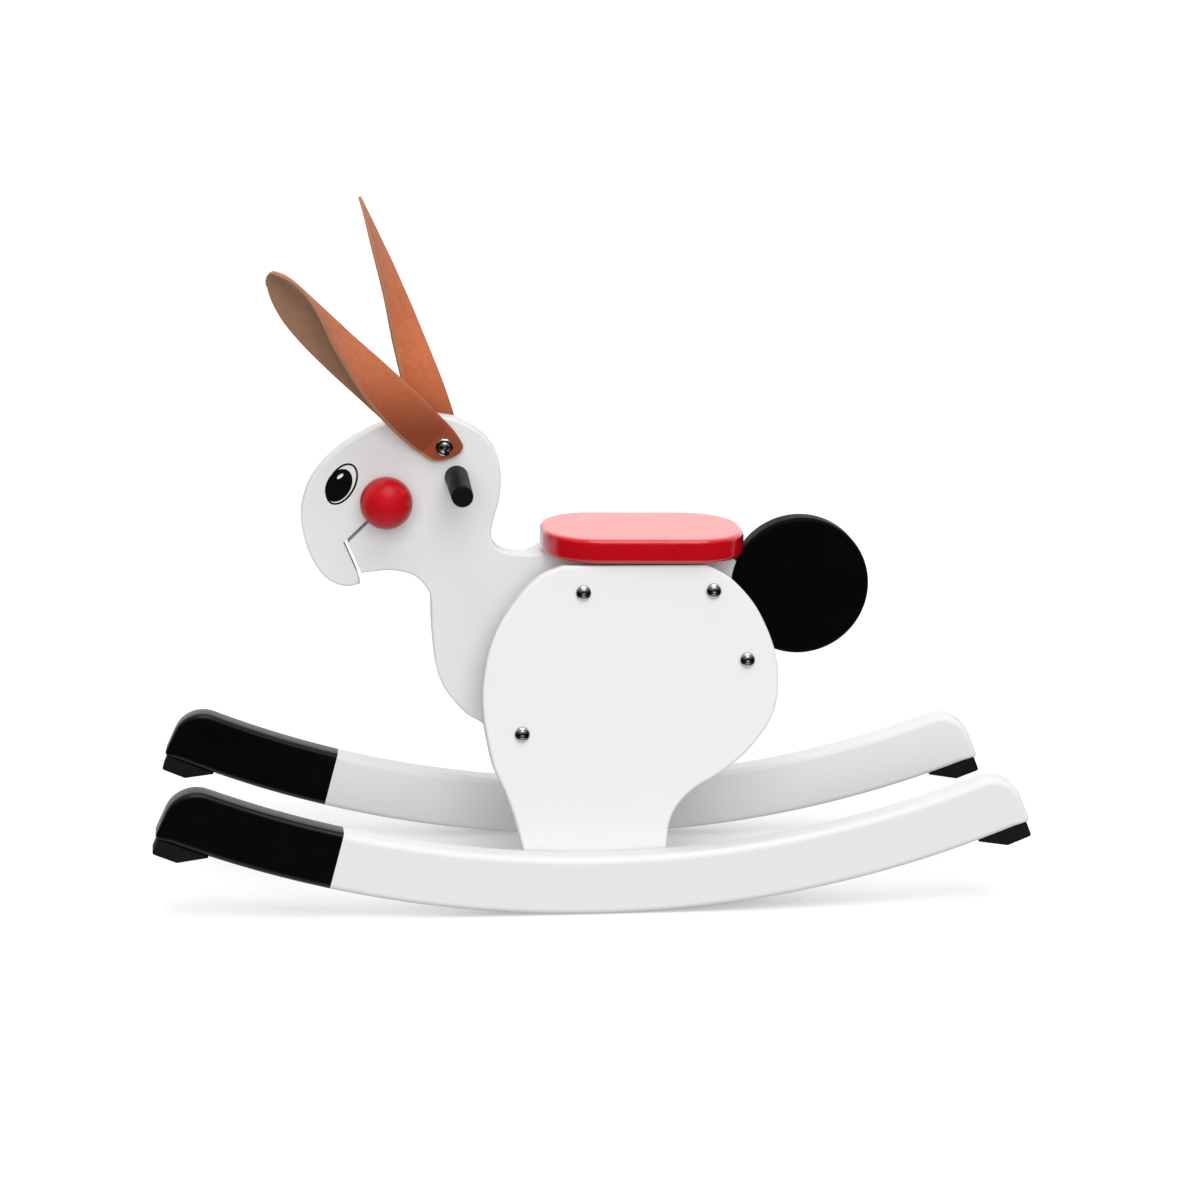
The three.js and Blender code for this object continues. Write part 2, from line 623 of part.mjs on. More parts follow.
function earGeometry(name) {
  const side = SIDES[name];
  const stations = [EAR_START, -14.4, -13, -11, -6, 0, 12, 25, 40, 55, 70, 85, 100, 125, 150, 175,
    200, 218, 230, 238, 242, EAR_LENGTH];
  const base = BOARD_THICKNESS / 2 + GAP + EAR_THICKNESS + 0.5;
  const positions = [];
  const rings = stations.map((s) => {
    const middle = earMiddle(name, s, 3);
    const faces = [[], []];
    middle.forEach(([p, n, direction], i) => {
      const turn = i < middle.length / 2 ? direction : direction + Math.PI;
      const normal = [-Math.sin(turn), Math.cos(turn)];
      [1, -1].forEach((sign, face) => {
        const offset = (sign * EAR_THICKNESS) / 2;
        const leaf = [p + offset * normal[0], n + offset * normal[1]];
        positions.push(-leaf[0], side * (base + leaf[1]), s);
        faces[face].push(positions.length / 3 - 1);
      });
    });
    return [...faces[0], ...faces[1].reverse()];
  });
  const geometry = new THREE.BufferGeometry();
  geometry.setAttribute('position', new THREE.Float32BufferAttribute(positions, 3));
  geometry.setIndex(loftTriangles(rings));
  return geometry;
}

// Joins rings of vertex numbers and closes both ends; each ring runs out and back along a strip.
function loftTriangles(rings) {
  const triangles = [];
  const quad = (a, b, c, d) => triangles.push(a, b, c, a, c, d);
  const count = rings[0].length;
  for (let k = 0; k + 1 < rings.length; k++) {
    for (let i = 0; i < count; i++) {
      const j = (i + 1) % count;
      quad(rings[k][i], rings[k][j], rings[k + 1][j], rings[k + 1][i]);
    }
  }
  for (let i = 0; i + 1 < count / 2; i++) {
    const [first, last] = [rings[0], rings[rings.length - 1]];
    const back = count - 1 - i;
    quad(first[i], first[back], first[back - 1], first[i + 1]);
    quad(last[i], last[i + 1], last[back - 1], last[back]);
  }
  return triangles;
}

function ear(name) {
  const hole = cylinder(EAR_SCREW.shank + 0.4, -40, 40, 12);
  return geometryOf(solid(earGeometry(name)).subtract(solid(hole)));
}

// ---- assembly -----------------------------------------------------------------------------
piece('centre_board', centreBoard(), whiteLacquer);
piece('tail_disc', tailDisc(), blackLacquer);
for (const [place, angle] of Object.entries(TAIL_DOWELS)) {
  const { radius, inDisc, inBoard } = TAIL_DOWEL;
  const dowel = cylinder(radius, TAIL.radius - inDisc, TAIL.radius + inBoard, 10);
  piece(`tail_dowel_${place}`, geometryOf(moved(dowel, tailMatrix(angle))), rawBeech);
}

piece('seat_board', seatBoard(), redLacquer);
for (const [place, x] of Object.entries(SEAT_DOWELS)) {
  const { radius, inBoard, inSeat } = SEAT_DOWEL;
  const dowel = cylinder(radius, SEAT.bottom - inBoard, SEAT.bottom + inSeat, 12);
  const mesh = piece(`seat_dowel_${place}`, dowel, rawBeech);
  mesh.rotation.x = Math.PI / 2;
  mesh.position.x = x;
}

const cheekDowel = cylinder(CHEEK_DOWEL.radius, -CHEEK_DOWEL.reach, CHEEK_DOWEL.reach, 12);
piece('cheek_dowel', cheekDowel, rawBeech).position.set(BALL.x, 0, BALL.z);
piece('handle_rod', handleRod(), blackLacquer).position.set(HANDLE.x, 0, HANDLE.z);

for (const [name, side] of Object.entries(SIDES)) {
  const sideGroup = sideGroups[name];
  const panelGroup = panelGroups[name];
  piece(`${name}_haunch_panel`, haunchPanel(name), whiteLacquer, panelGroup);
  piece(`${name}_rocker`, rocker(name), whiteLacquer, sideGroup);
  for (const [end, direction] of [['front', -1], ['rear', 1]]) {
    piece(`${name}_${end}_stop`, rubberStop(direction), blackRubber, sideGroup);
    const seated = ROCKER_RADIUS + STOP_DEPTH - STOP_SCREW.sunk - GAP;
    const inwards = new THREE.Matrix4().makeRotationX(Math.PI).setPosition(0, seated, 0);
    const matrix = stopMatrix(direction).multiply(inwards);
    const stopScrew = geometryOf(woodScrew(STOP_SCREW)).applyMatrix4(matrix);
    piece(`${name}_${end}_stop_screw`, stopScrew, zincSteel, sideGroup);
    const back = new THREE.Matrix4().makeRotationZ(Math.PI);
    back.setPosition(0, FOOT_SCREW.reach + GAP, 0);
    const footMatrix = footScrewMatrix(name, end).multiply(back);
    const footScrew = geometryOf(woodScrew(FOOT_SCREW)).applyMatrix4(footMatrix);
    piece(`${name}_${end}_foot_screw`, footScrew, zincSteel, sideGroup);
  }
  const ball = piece(`${name}_cheek_ball`, cheekBall(), redLacquer);
  ball.position.set(BALL.x, side * BALL.y, BALL.z);
  ball.rotation.z = side < 0 ? Math.PI : 0;

  const earGroup = new THREE.Group();
  earGroup.position.set(EAR_SCREW.x, 0, EAR_SCREW.z);
  root.add(earGroup);
  piece(`${name}_ear`, ear(name), tanLeather, earGroup).rotation.y = -EAR_TILT[name];
  const outside = BOARD_THICKNESS / 2 + 2 * EAR_THICKNESS + 1 + 2 * GAP;
  const washerMesh = piece(`${name}_ear_washer`, earWasher(), darkChrome, earGroup);
  const headSeat = outside + EAR_WASHER.thickness;
  const earScrew = geometryOf(domedScrew(EAR_SCREW, headSeat - 1));
  const screwMesh = piece(`${name}_ear_screw`, earScrew, darkChrome, earGroup);
  washerMesh.position.y = side * outside;
  screwMesh.position.y = side * headSeat;
  washerMesh.rotation.z = side < 0 ? Math.PI : 0;
  screwMesh.rotation.z = side < 0 ? 0 : Math.PI;
}

eachBolt((sideName, place, matrix) => {
  const face = reachToBoard(matrix);
  const label = `${sideName}_${place}`;
  const boltEnd = face + INSERT.sunk + INSERT.length - 1;
  piece(`${label}_bolt`, geometryOf(domedScrew(BOLT, boltEnd)).applyMatrix4(matrix), darkChrome);
  piece(`${label}_spacer`, geometryOf(spacer(sideName, matrix)), rawBeech);
  const start = face + INSERT.sunk;
  const nut = sleeve(INSERT.radius, BOLT.shank + GAP, start, start + INSERT.length, 10);
  piece(`${label}_insert`, nut.applyMatrix4(matrix), brass);
});

export default root;
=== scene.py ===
"""Looks of the rocking rabbit: lacquered boards, turned pieces and folded leather ears."""
import json
import math
from math import cos, pi, radians, sin

import bmesh
import bpy
from mathutils import Matrix, Vector, noise


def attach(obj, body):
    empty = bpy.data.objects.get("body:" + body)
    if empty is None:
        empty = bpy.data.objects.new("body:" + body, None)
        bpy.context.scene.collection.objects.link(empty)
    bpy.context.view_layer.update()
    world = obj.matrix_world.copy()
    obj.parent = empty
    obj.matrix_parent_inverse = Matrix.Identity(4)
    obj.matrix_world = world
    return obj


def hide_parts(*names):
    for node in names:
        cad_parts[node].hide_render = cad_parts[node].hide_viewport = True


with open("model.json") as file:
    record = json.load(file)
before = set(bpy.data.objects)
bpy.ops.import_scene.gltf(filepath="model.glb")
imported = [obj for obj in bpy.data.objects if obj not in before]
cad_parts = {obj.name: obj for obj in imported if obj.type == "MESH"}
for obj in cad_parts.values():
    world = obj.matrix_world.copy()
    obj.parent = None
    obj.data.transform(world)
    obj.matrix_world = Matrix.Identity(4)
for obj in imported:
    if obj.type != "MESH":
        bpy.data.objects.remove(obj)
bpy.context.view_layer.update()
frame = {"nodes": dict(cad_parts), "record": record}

# ---- sizes, in millimetres as in the CAD source ----
MM = 0.001
GAP = 0.3  # clearance between pieces that touch
BEYOND = 200.0  # reach of a cutting box past the piece it cuts
SIDES = {"left": -1, "right": 1}

ROCKER_RADIUS = 1100.0
ROCKER_HALF_LENGTH = 431.2
ROCKER_HEIGHT = 58.0
ROCKER_THICKNESS = 28.0
ROCKER_SPREAD = 123.0
ROCKER_TOE = radians(1.73)
ROCKER_FILLET = 6.0
ROCKER_STEPS = 120
# where the sole and the top pass into the rounded tips
ROCKER_SOLE_END = radians(22.65)
ROCKER_TOP_END = radians(21.15)
PAINT_ANGLE = radians(-13.9)  # the nose is black up to here
TIP_SOLE_RADIUS = 4.0
TIP_TOP_RADIUS = 32.0
TIP_STEPS = 12
TIP_FILLET = 3.2  # the rounding near the sole's corner, which grows over these distances from it
TIP_FILLET_START, TIP_FILLET_SPAN = 5.0, 14.0

STOP_WIDTH = 24.0
STOP_FILLET = 0.8
STOP_DEPTH = 16.0
STOP_TIP = radians(22.88)
STOP_HEEL = radians(21.56)
STOP_TAPER = radians(20.21)
STOP_LIP = 1.0  # height of the small face at the thin end
STOP_CORNERS = (2.5, 2.0, 0.3)
STOP_SCREW_ANGLE = radians(22.2)
STOP_POCKET_RADIUS, STOP_POCKET_DEPTH = 3.8, 5.0

PANEL_LEAN = radians(9.5)
PANEL_THICKNESS = 20.0
PANEL_FOLD_HEIGHT = 62.0
PANEL_FOOT_HEIGHT = 14.0
PANEL_SHIFT = 1.1
PANEL_FILLET = 3.0
PANEL_FOOT_EASE = 4.0  # the curves of the sides end this far above the foot

BOARD_THICKNESS = 24.0
BOARD_HALF = BOARD_THICKNESS / 2
BOARD_FILLET = 2.6
MOUTH_FILLET = 0.7

SEAT_BOTTOM, SEAT_TOP = 337.0, 361.0
SEAT_START, SEAT_END = -52.0, 149.6
SEAT_WIDTH, SEAT_CORNER, SEAT_FILLET = 135.0, 55.0, 5.0

TAIL = Vector((210.0, 0.0, 301.6))
TAIL_RADIUS, TAIL_THICKNESS, TAIL_FILLET, TAIL_CAP_RIM = 70.0, 26.0, 4.5, 1.0
BALL = Vector((-207.7, 36.0, 391.2))
BALL_RADIUS, BALL_STEPS = 25.8, 40
CHEEK_DOWEL_RADIUS, CHEEK_DOWEL_REACH = 5.0, 26.0
HANDLE = Vector((-137.9, 0.0, 412.3))
HANDLE_REACH, HANDLE_MIDDLE, HANDLE_END = 107.0, 11.6, 10.5
HANDLE_NECK = 3.0  # straight on each side of the board, then tapered
HANDLE_FILLET = 2.6
HANDLE_CAP_RIM = 3.4
HANDLE_HOLE = HANDLE_MIDDLE + GAP / 2

EAR_SCREW = Vector((-150.8, 0.0, 443.7))
EAR_SCREW_FORM = {"head": 5.5, "height": 3.2, "socket": 1.8, "shank": 2.5}
EAR_SCREW_SHORT = 1.0  # from its tip to the middle plane
EAR_SCREW_HOLE = EAR_SCREW_FORM["shank"] + GAP
WASHER_RADIUS, WASHER_RIM, WASHER_EDGE, WASHER_THICKNESS = 8.5, 7.2, 0.7, 1.5
WASHER_ROUNDING = (0.1, 0.2, 0.2, 0.3, 0.1)
EAR_THICKNESS = 3.0
EAR_AIR = 1.0  # between the two halves of the leaf at the screw
EAR_HOLE = 2.9
EAR_TILT = {"left": radians(46.4), "right": radians(23.4)}

SPACER_RADIUS, SPACER_CHAMFER = 16.0, 0.8
BOLT_FORM = {"head": 7.6, "height": 4.2, "socket": 2.3, "shank": 3.0}
BOLT_HOLE = BOLT_FORM["shank"] + GAP
BOLT_IN_BOARD = 8.6
# bolt places on the outer face of a haunch panel: length and height
BOLTS = {
    "front_upper": (-15.0, 308.6),
    "rear_upper": (114.5, 309.4),
    "rear_lower": (148.6, 241.7),
    "front_lower": (-75.4, 172.0),
}


def spin(angle, axis):
    return Matrix.Rotation(angle, 4, axis)


def shift(x, y, z):
    return Matrix.Translation((x, y, z))


# ---- camera ----
CAMERA_PLACE = Vector((-0.31427, -2.78098, 0.97502))
CAMERA_YAW, CAMERA_PITCH, CAMERA_ROLL = (radians(a) for a in (6.395, 13.640, 1.431))
CAMERA_LENS, SENSOR = 87.71, 36.0


def add_object(name, data):
    item = bpy.data.objects.new(name, data)
    bpy.context.scene.collection.objects.link(item)
    return item


def make_camera():
    data = bpy.data.cameras.new("camera")
    data.lens = CAMERA_LENS
    data.sensor_width = SENSOR
    camera = add_object("camera", data)
    aim = spin(-CAMERA_YAW, "Z") @ spin(pi / 2 - CAMERA_PITCH, "X") @ spin(CAMERA_ROLL, "Z")
    camera.matrix_world = shift(*CAMERA_PLACE) @ aim
    bpy.context.scene.camera = camera


make_camera()


# ---- materials ----
RANGE_SOCKETS = ("From Min", "From Max", "To Min", "To Max")
MIX_A, MIX_B, MIX_RESULT = 6, 7, 2  # the colour sockets of a Mix node


class Finish:
    """A procedural material built round one Principled shader, in the piece's own coordinates.

    Sizes are in millimetres. Colours are linear.
    """

    def __init__(self, name, color, roughness, gloss=0.5, **sockets):
        self.material = bpy.data.materials.new(name)
        self.material.use_nodes = True
        self.tree = self.material.node_tree
        self.shader = self.tree.nodes["Principled BSDF"]
        self.color = color
        self.shader.inputs["Base Color"].default_value = (*color, 1)
        self.shader.inputs["Roughness"].default_value = roughness
        self.shader.inputs["Specular IOR Level"].default_value = gloss
        for socket, value in sockets.items():
            self.shader.inputs[socket.replace("_", " ")].default_value = value
        self.place = self.node("TexCoord").outputs["Object"]

    def node(self, kind, **values):
        """A new node, with the values of its sockets."""
        node = self.tree.nodes.new(f"ShaderNode{kind}")
        for socket, value in values.items():
            node.inputs[socket].default_value = value
        return node

    def link(self, output, socket):
        self.tree.links.new(output, socket)

    def stretched(self, scale):
        mapping = self.node("Mapping", Scale=scale)
        self.link(self.place, mapping.inputs["Vector"])
        return mapping.outputs["Vector"]

    def noise(self, size, detail, roughness=0.5, place=None, distortion=0.0):
        """Soft noise whose features are about size millimetres across."""
        node = self.node("TexNoise", Scale=1 / (size * MM), Detail=detail, Roughness=roughness,
                         Distortion=distortion)
        self.link(place or self.place, node.inputs["Vector"])
        return node.outputs["Fac"]

    def cells(self, size, feature="F1"):
        node = self.node("TexVoronoi", Scale=1 / (size * MM))
        node.feature = feature
        self.link(self.place, node.inputs["Vector"])
        return node.outputs["Distance"]

    def remap(self, value, low, high, to_low, to_high):
        node = self.node("MapRange", **dict(zip(RANGE_SOCKETS, (low, high, to_low, to_high))))
        self.link(value, node.inputs["Value"])
        return node.outputs["Result"]

    def level(self, low, high):
        """A factor that falls from 1 to 0 between two heights in millimetres."""
        parts = self.node("SeparateXYZ")
        self.link(self.place, parts.inputs[0])
        return self.remap(parts.outputs["Z"], low * MM, high * MM, 1.0, 0.0)

    def tint(self, factor, color):
        """Blends another colour into the base colour where factor is high."""
        mix = self.node("Mix")
        mix.data_type = "RGBA"
        base = self.shader.inputs["Base Color"]
        if base.is_linked:
            self.link(base.links[0].from_socket, mix.inputs[MIX_A])
        else:
            mix.inputs[MIX_A].default_value = (*self.color, 1)
        mix.inputs[MIX_B].default_value = (*color, 1)
        self.link(factor, mix.inputs[0])
        self.link(mix.outputs[MIX_RESULT], base)

    def cloud(self, value, low, high, amount, color):
        """Blends in another colour, up to an amount, as a value rises from low to high."""
        self.tint(self.remap(value, low, high, 0.0, amount), color)

    def vary_roughness(self, factor, low, high):
        self.link(self.remap(factor, 0.3, 0.7, low, high), self.shader.inputs["Roughness"])

    def bump(self, height, strength, depth):
        """Adds a bump layer; depth is in millimetres."""
        node = self.node("Bump", Strength=strength, Distance=depth * MM)
        self.link(height, node.inputs["Height"])
        normal = self.shader.inputs["Normal"]
        if normal.is_linked:
            self.link(normal.links[0].from_socket, node.inputs["Normal"])
        self.link(node.outputs["Normal"], normal)


def lacquer(name, color, shade, roughness, gloss, peel=1.0):
    """Sprayed paint on wood: faint mottling, a soft orange peel, the grain just showing through."""
    f = Finish(name, color, roughness, gloss)
    f.cloud(f.noise(60, 3), 0.35, 0.75, 0.5, shade)
    f.vary_roughness(f.noise(25, 4), roughness * 0.88, roughness * 1.15)
    f.bump(f.noise(7, 2), 0.25 * peel, 0.012)
    f.bump(f.noise(4, 2, place=f.stretched((0.05, 1, 1))), 0.2 * peel, 0.01)
    return f.material


SEAT_PAINTED_LIGHT_DEPTH = 2.5  # painted light: the brighter red on the flat top, standing in for the light it catches, fades over this depth


def seat_red_with_painted_light():
    """Glossy red paint under a clear coat, with painted light: the flat top is tinted a brighter
    red.
    """
    f = Finish("red_seat_lacquer_painted_light", (0.46, 0.0010, 0.008), 0.22, gloss=0.3, Coat_Weight=0.9,
               Coat_Roughness=0.06)
    f.cloud(f.noise(60, 3), 0.35, 0.75, 0.5, (0.41, 0.001, 0.006))
    # painted light: a brighter red on the top face only, as if lit from above
    f.tint(f.level(SEAT_TOP, SEAT_TOP - SEAT_PAINTED_LIGHT_DEPTH), (0.78, 0.012, 0.004))
    f.vary_roughness(f.noise(25, 4), 0.19, 0.25)
    f.bump(f.noise(7, 2), 0.25, 0.012)
    return f.material


LEATHER_PAINTED_SHADE_BELOW, LEATHER_PAINTED_SHADE_ENDS = 458.0, 522.0  # heights between which painted shade darkens it, strongest at the base near the screw


def leather_grain():
    """The smooth, waxed side of tan leather: cloudy colour, fine pores, soft creases and painted
    shade towards its base.
    """
    f = Finish("leather_grain", (0.50, 0.142, 0.056), 0.6, gloss=0.25)
    f.cloud(f.noise(28, 4, 0.6), 0.35, 0.7, 0.6, (0.42, 0.110, 0.040))
    f.cloud(f.noise(5, 4, 0.65), 0.45, 0.75, 0.4, (0.64, 0.22, 0.095))
    # painted shade: darker towards the base of the ear, near the screw
    f.tint(f.level(LEATHER_PAINTED_SHADE_BELOW, LEATHER_PAINTED_SHADE_ENDS), (0.25, 0.055, 0.022))
    pores = f.cells(0.9)
    f.tint(f.remap(pores, 0.0, 0.25, 0.35, 0.0), (0.22, 0.06, 0.022))
    f.vary_roughness(f.noise(9, 4), 0.45, 0.65)
    f.bump(f.cells(1.3, "DISTANCE_TO_EDGE"), 0.25, 0.12)
    f.bump(f.noise(0.5, 2), 0.2, 0.08)
    return f.material


def leather_flesh():
    """The rough suede side of the same leather."""
    f = Finish("leather_flesh", (0.30, 0.155, 0.088), 0.95, gloss=0.2, Sheen_Weight=0.5,
               Sheen_Roughness=0.6)
    fibres = f.noise(0.7, 5, 0.75, distortion=1.0)
    f.cloud(f.noise(18, 5, 0.65), 0.35, 0.7, 0.6, (0.22, 0.10, 0.055))
    f.cloud(fibres, 0.42, 0.75, 0.75, (0.40, 0.24, 0.15))
    f.vary_roughness(fibres, 0.85, 1.0)
    f.bump(fibres, 0.6, 0.25)
    return f.material


def leather_edge():
    """The cut edge of the leather, with the layers of its fibres."""
    f = Finish("leather_edge", (0.40, 0.185, 0.105), 0.85, gloss=0.2)
    layers = f.noise(0.35, 4, 0.7, place=f.stretched((1, 0.25, 1)))
    f.cloud(layers, 0.4, 0.7, 0.6, (0.27, 0.115, 0.06))
    f.vary_roughness(layers, 0.7, 0.9)
    f.bump(layers, 0.4, 0.12)
    return f.material


def moulded_rubber():
    f = Finish("moulded_rubber", (0.006, 0.006, 0.0065), 0.8, gloss=0.15)
    f.cloud(f.noise(14, 4), 0.4, 0.75, 0.5, (0.011, 0.011, 0.0105))
    f.vary_roughness(f.noise(6, 3), 0.7, 0.9)
    f.bump(f.noise(0.6, 3, 0.6), 0.35, 0.08)
    return f.material


def metal(name, color, roughness, brushed=0.0):
    f = Finish(name, color, roughness, Metallic=1.0)
    f.vary_roughness(f.noise(3, 4), roughness * 0.75, roughness * 1.4)
    f.bump(f.noise(0.7, 3, place=f.stretched((1, 1, 6))), 0.05 + brushed, 0.01)
    return f.material


def bare_beech():
    """Unpainted beech: long grain along the piece with short dark flecks."""
    f = Finish("bare_beech", (0.60, 0.40, 0.23), 0.6, gloss=0.4)
    grain = f.noise(5, 5, 0.65, place=f.stretched((0.12, 1, 1)), distortion=0.6)
    f.cloud(grain, 0.35, 0.7, 0.7, (0.45, 0.26, 0.13))
    flecks = f.noise(1.1, 2, place=f.stretched((1, 0.2, 1)))
    f.cloud(flecks, 0.62, 0.72, 0.6, (0.30, 0.16, 0.08))
    f.vary_roughness(grain, 0.5, 0.7)
    f.bump(grain, 0.25, 0.1)
    return f.material


WHITE = lacquer("white_lacquer", (0.705, 0.705, 0.707), (0.69, 0.69, 0.692),
                roughness=0.5, gloss=0.15)
BLACK = lacquer("black_lacquer", (0.0016, 0.0016, 0.0017), (0.0030, 0.0030, 0.0032),
                roughness=0.27, gloss=0.25)
DISC_BLACK = lacquer("disc_black_lacquer", (0.0016, 0.0016, 0.0017), (0.0026, 0.0026, 0.0028),
                     roughness=0.42, gloss=0.04)
SATIN_BLACK = lacquer("satin_black_lacquer", (0.005, 0.005, 0.0055), (0.009, 0.009, 0.010),
                      roughness=0.5, gloss=0.07)
SATIN_RED = lacquer("satin_red_lacquer", (0.47, 0.002, 0.008), (0.42, 0.002, 0.006),
                    roughness=0.30, gloss=0.25, peel=0.2)
SEAT_RED_PAINTED_LIGHT = seat_red_with_painted_light()
GRAIN, FLESH, CUT_EDGE = leather_grain(), leather_flesh(), leather_edge()
RUBBER = moulded_rubber()
DARK_CHROME = metal("dark_chrome", (0.50, 0.50, 0.51), roughness=0.17)
ZINC = metal("zinc_steel", (0.60, 0.61, 0.62), roughness=0.35, brushed=0.1)
BRASS = metal("turned_brass", (0.72, 0.50, 0.22), roughness=0.3, brushed=0.1)
BEECH = bare_beech()
INK_BLACK = lacquer("printed_black", (0.003,) * 3, (0.005,) * 3, roughness=0.4, gloss=0.15)
INK_WHITE = lacquer("printed_white", (0.74, 0.74, 0.742), (0.72,) * 3, roughness=0.4, gloss=0.25)


# ---- pieces from meshes ----
SHARP = 35  # degrees: a steeper edge than this is shaded as a corner


def finished_mesh(name, bm):
    """Turns a bmesh in millimetres into a mesh in metres whose faces point out."""
    bmesh.ops.recalc_face_normals(bm, faces=bm.faces[:])
    bmesh.ops.scale(bm, vec=(MM, MM, MM), verts=bm.verts[:])
    mesh = bpy.data.meshes.new(name)
    bm.to_mesh(mesh)
    bm.free()
    return mesh


def shade(mesh, sharp):
    mesh.shade_smooth()
    mesh.set_sharp_from_angle(angle=radians(sharp))


def mesh_piece(node, look, bm, materials, body="frame", sharp=SHARP):
    """A smooth-shaded piece that rides on a body, shown instead of its CAD node if it has one."""
    name = f"{node}_{look}"
    mesh = finished_mesh(name, bm)
    for material in materials:
        mesh.materials.append(material)
    shade(mesh, sharp)
    piece = add_object(name, mesh)
    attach(piece, body)
    if node in frame["nodes"]:
        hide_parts(node)
    return piece


def cut(piece, tool_bm, sharp=SHARP):
    """Cuts the shape of tool_bm, in millimetres, out of a piece."""
    tool = add_object("tool", finished_mesh("tool", tool_bm))
    modifier = piece.modifiers.new("cut", "BOOLEAN")
    modifier.operation = "DIFFERENCE"
    modifier.solver = "EXACT"
    modifier.object = tool
    depsgraph = bpy.context.evaluated_depsgraph_get()
    result = bpy.data.meshes.new_from_object(piece.evaluated_get(depsgraph))
    piece.modifiers.remove(modifier)
    unused = piece.data, tool.data
    piece.data = result
    bpy.data.objects.remove(tool)
    for mesh in unused:
        bpy.data.meshes.remove(mesh)
    shade(result, sharp)


# ---- outlines ----
def catmull_rom(points, steps):
    """Points along a smooth curve through the given ones, without the first."""
    padded = [points[0], *points, points[-1]]
    result = []
    for i in range(len(points) - 1):
        p0, p1, p2, p3 = (Vector(p) for p in padded[i:i + 4])
        for k in range(1, steps + 1):
            t = k / steps
            v1, v2 = (p2 - p0) * 0.5, (p3 - p1) * 0.5
            a = 2 * p1 - 2 * p2 + v1 + v2
            b = -3 * p1 + 3 * p2 - 2 * v1 - v2
            result.append(a * t ** 3 + b * t ** 2 + v1 * t + p1)
    return result


def arc(centre, radius, start, end, steps):
    return [
        Vector(centre) + radius * Vector((cos(a), sin(a)))
        for a in (start + (end - start) * i / steps for i in range(steps + 1))
    ]


def tidy(points, closest=0.4):
    """Drops points that nearly repeat the one before."""
    kept = []
    for p in points:
        p = Vector(p)
        if not kept or (p - kept[-1]).length > closest:
            kept.append(p)
    if (kept[0] - kept[-1]).length <= closest:
        kept.pop()
    return kept


def signed_area(points):
    return sum(a.x * b.y - b.x * a.y for a, b in zip(points, points[1:] + points[:1])) / 2


def inward(points):
    """For each corner of a counter-clockwise outline, the step that insets it by 1 mm."""
    steps = []
    for i, p in enumerate(points):
        before = (p - points[i - 1]).normalized()
        after = (points[(i + 1) % len(points)] - p).normalized()
        normal = Vector((-before.y - after.y, before.x + after.x))
        if normal.length < 1e-6:
            normal = Vector((-before.y, before.x))
        normal.normalize()
        lean = max(0.5, normal.dot(Vector((-after.y, after.x))))
        steps.append(normal / lean)
    return steps


def join_rings(bm, low, high):
    """The faces between two closed rings."""
    afters = [*range(1, len(low)), 0]
    return [bm.faces.new((low[i], low[j], high[j], high[i])) for i, j in enumerate(afters)]


CAP_RIM = 0.5  # a narrow ring inside the fillet keeps the flat face's shading flat
FILLET_STEPS = 6


def plate(outline, thickness, fillets, place):
    """A board with rounded edges. The outline lies in its X-Y plane, centred on Z.

    fillets is one radius, or a function that gives the radius at a point of the outline.
    """
    bm = bmesh.new()
    points = tidy(outline)
    if signed_area(points) < 0:
        points.reverse()
    radii = [fillets(p) for p in points] if callable(fillets) else [fillets] * len(points)
    steps = inward(points)
    half = thickness / 2
    levels = []
    for side in (-1, 1):
        turns = [None] + [k / FILLET_STEPS * pi / 2 for k in range(FILLET_STEPS, -1, -1)]
        for turn in turns if side < 0 else reversed(turns):
            ring = []
            for p, r, step in zip(points, radii, steps):
                inset = r + CAP_RIM if turn is None else r * (1 - cos(turn))
                height = half if turn is None else half - r + r * sin(turn)
                flat = p + step * inset
                ring.append(bm.verts.new(place @ Vector((flat.x, flat.y, side * height))))
            levels.append(ring)
    for low, high in zip(levels, levels[1:]):
        join_rings(bm, low, high)
    for ring in (levels[0], levels[-1]):
        edges = [bm.edges.get(pair) for pair in zip(ring, ring[1:] + ring[:1])]
        bmesh.ops.triangle_fill(bm, edges=edges, use_beauty=True)
    return bm


def turned(bm, profile, place, segments=64, hexagon=()):
    """Turns a profile of (radius, y) about Y. The rings numbered in hexagon have six sides."""
    rings = []
    for index, (radius, y) in enumerate(profile):
        if radius < 1e-6:
            rings.append([bm.verts.new(place @ Vector((0, y, 0)))])
            continue
        ring = []
        for i in range(segments):
            angle = 2 * pi * i / segments
            reach = radius
            if index in hexagon:
                off_flat = (angle + pi / 6) % (pi / 3) - pi / 6
                reach = radius / cos(off_flat)
            across = Vector((reach * cos(angle), y, reach * sin(angle)))
            ring.append(bm.verts.new(place @ across))
        rings.append(ring)
    for low, high in zip(rings, rings[1:]):
        if len(low) > 1 and len(high) > 1:
            join_rings(bm, low, high)
            continue
        for i in range(segments):
            j = (i + 1) % segments
            if len(low) == 1:
                bm.faces.new((low[0], high[j], high[i]))
            else:
                bm.faces.new((low[i], low[j], high[0]))


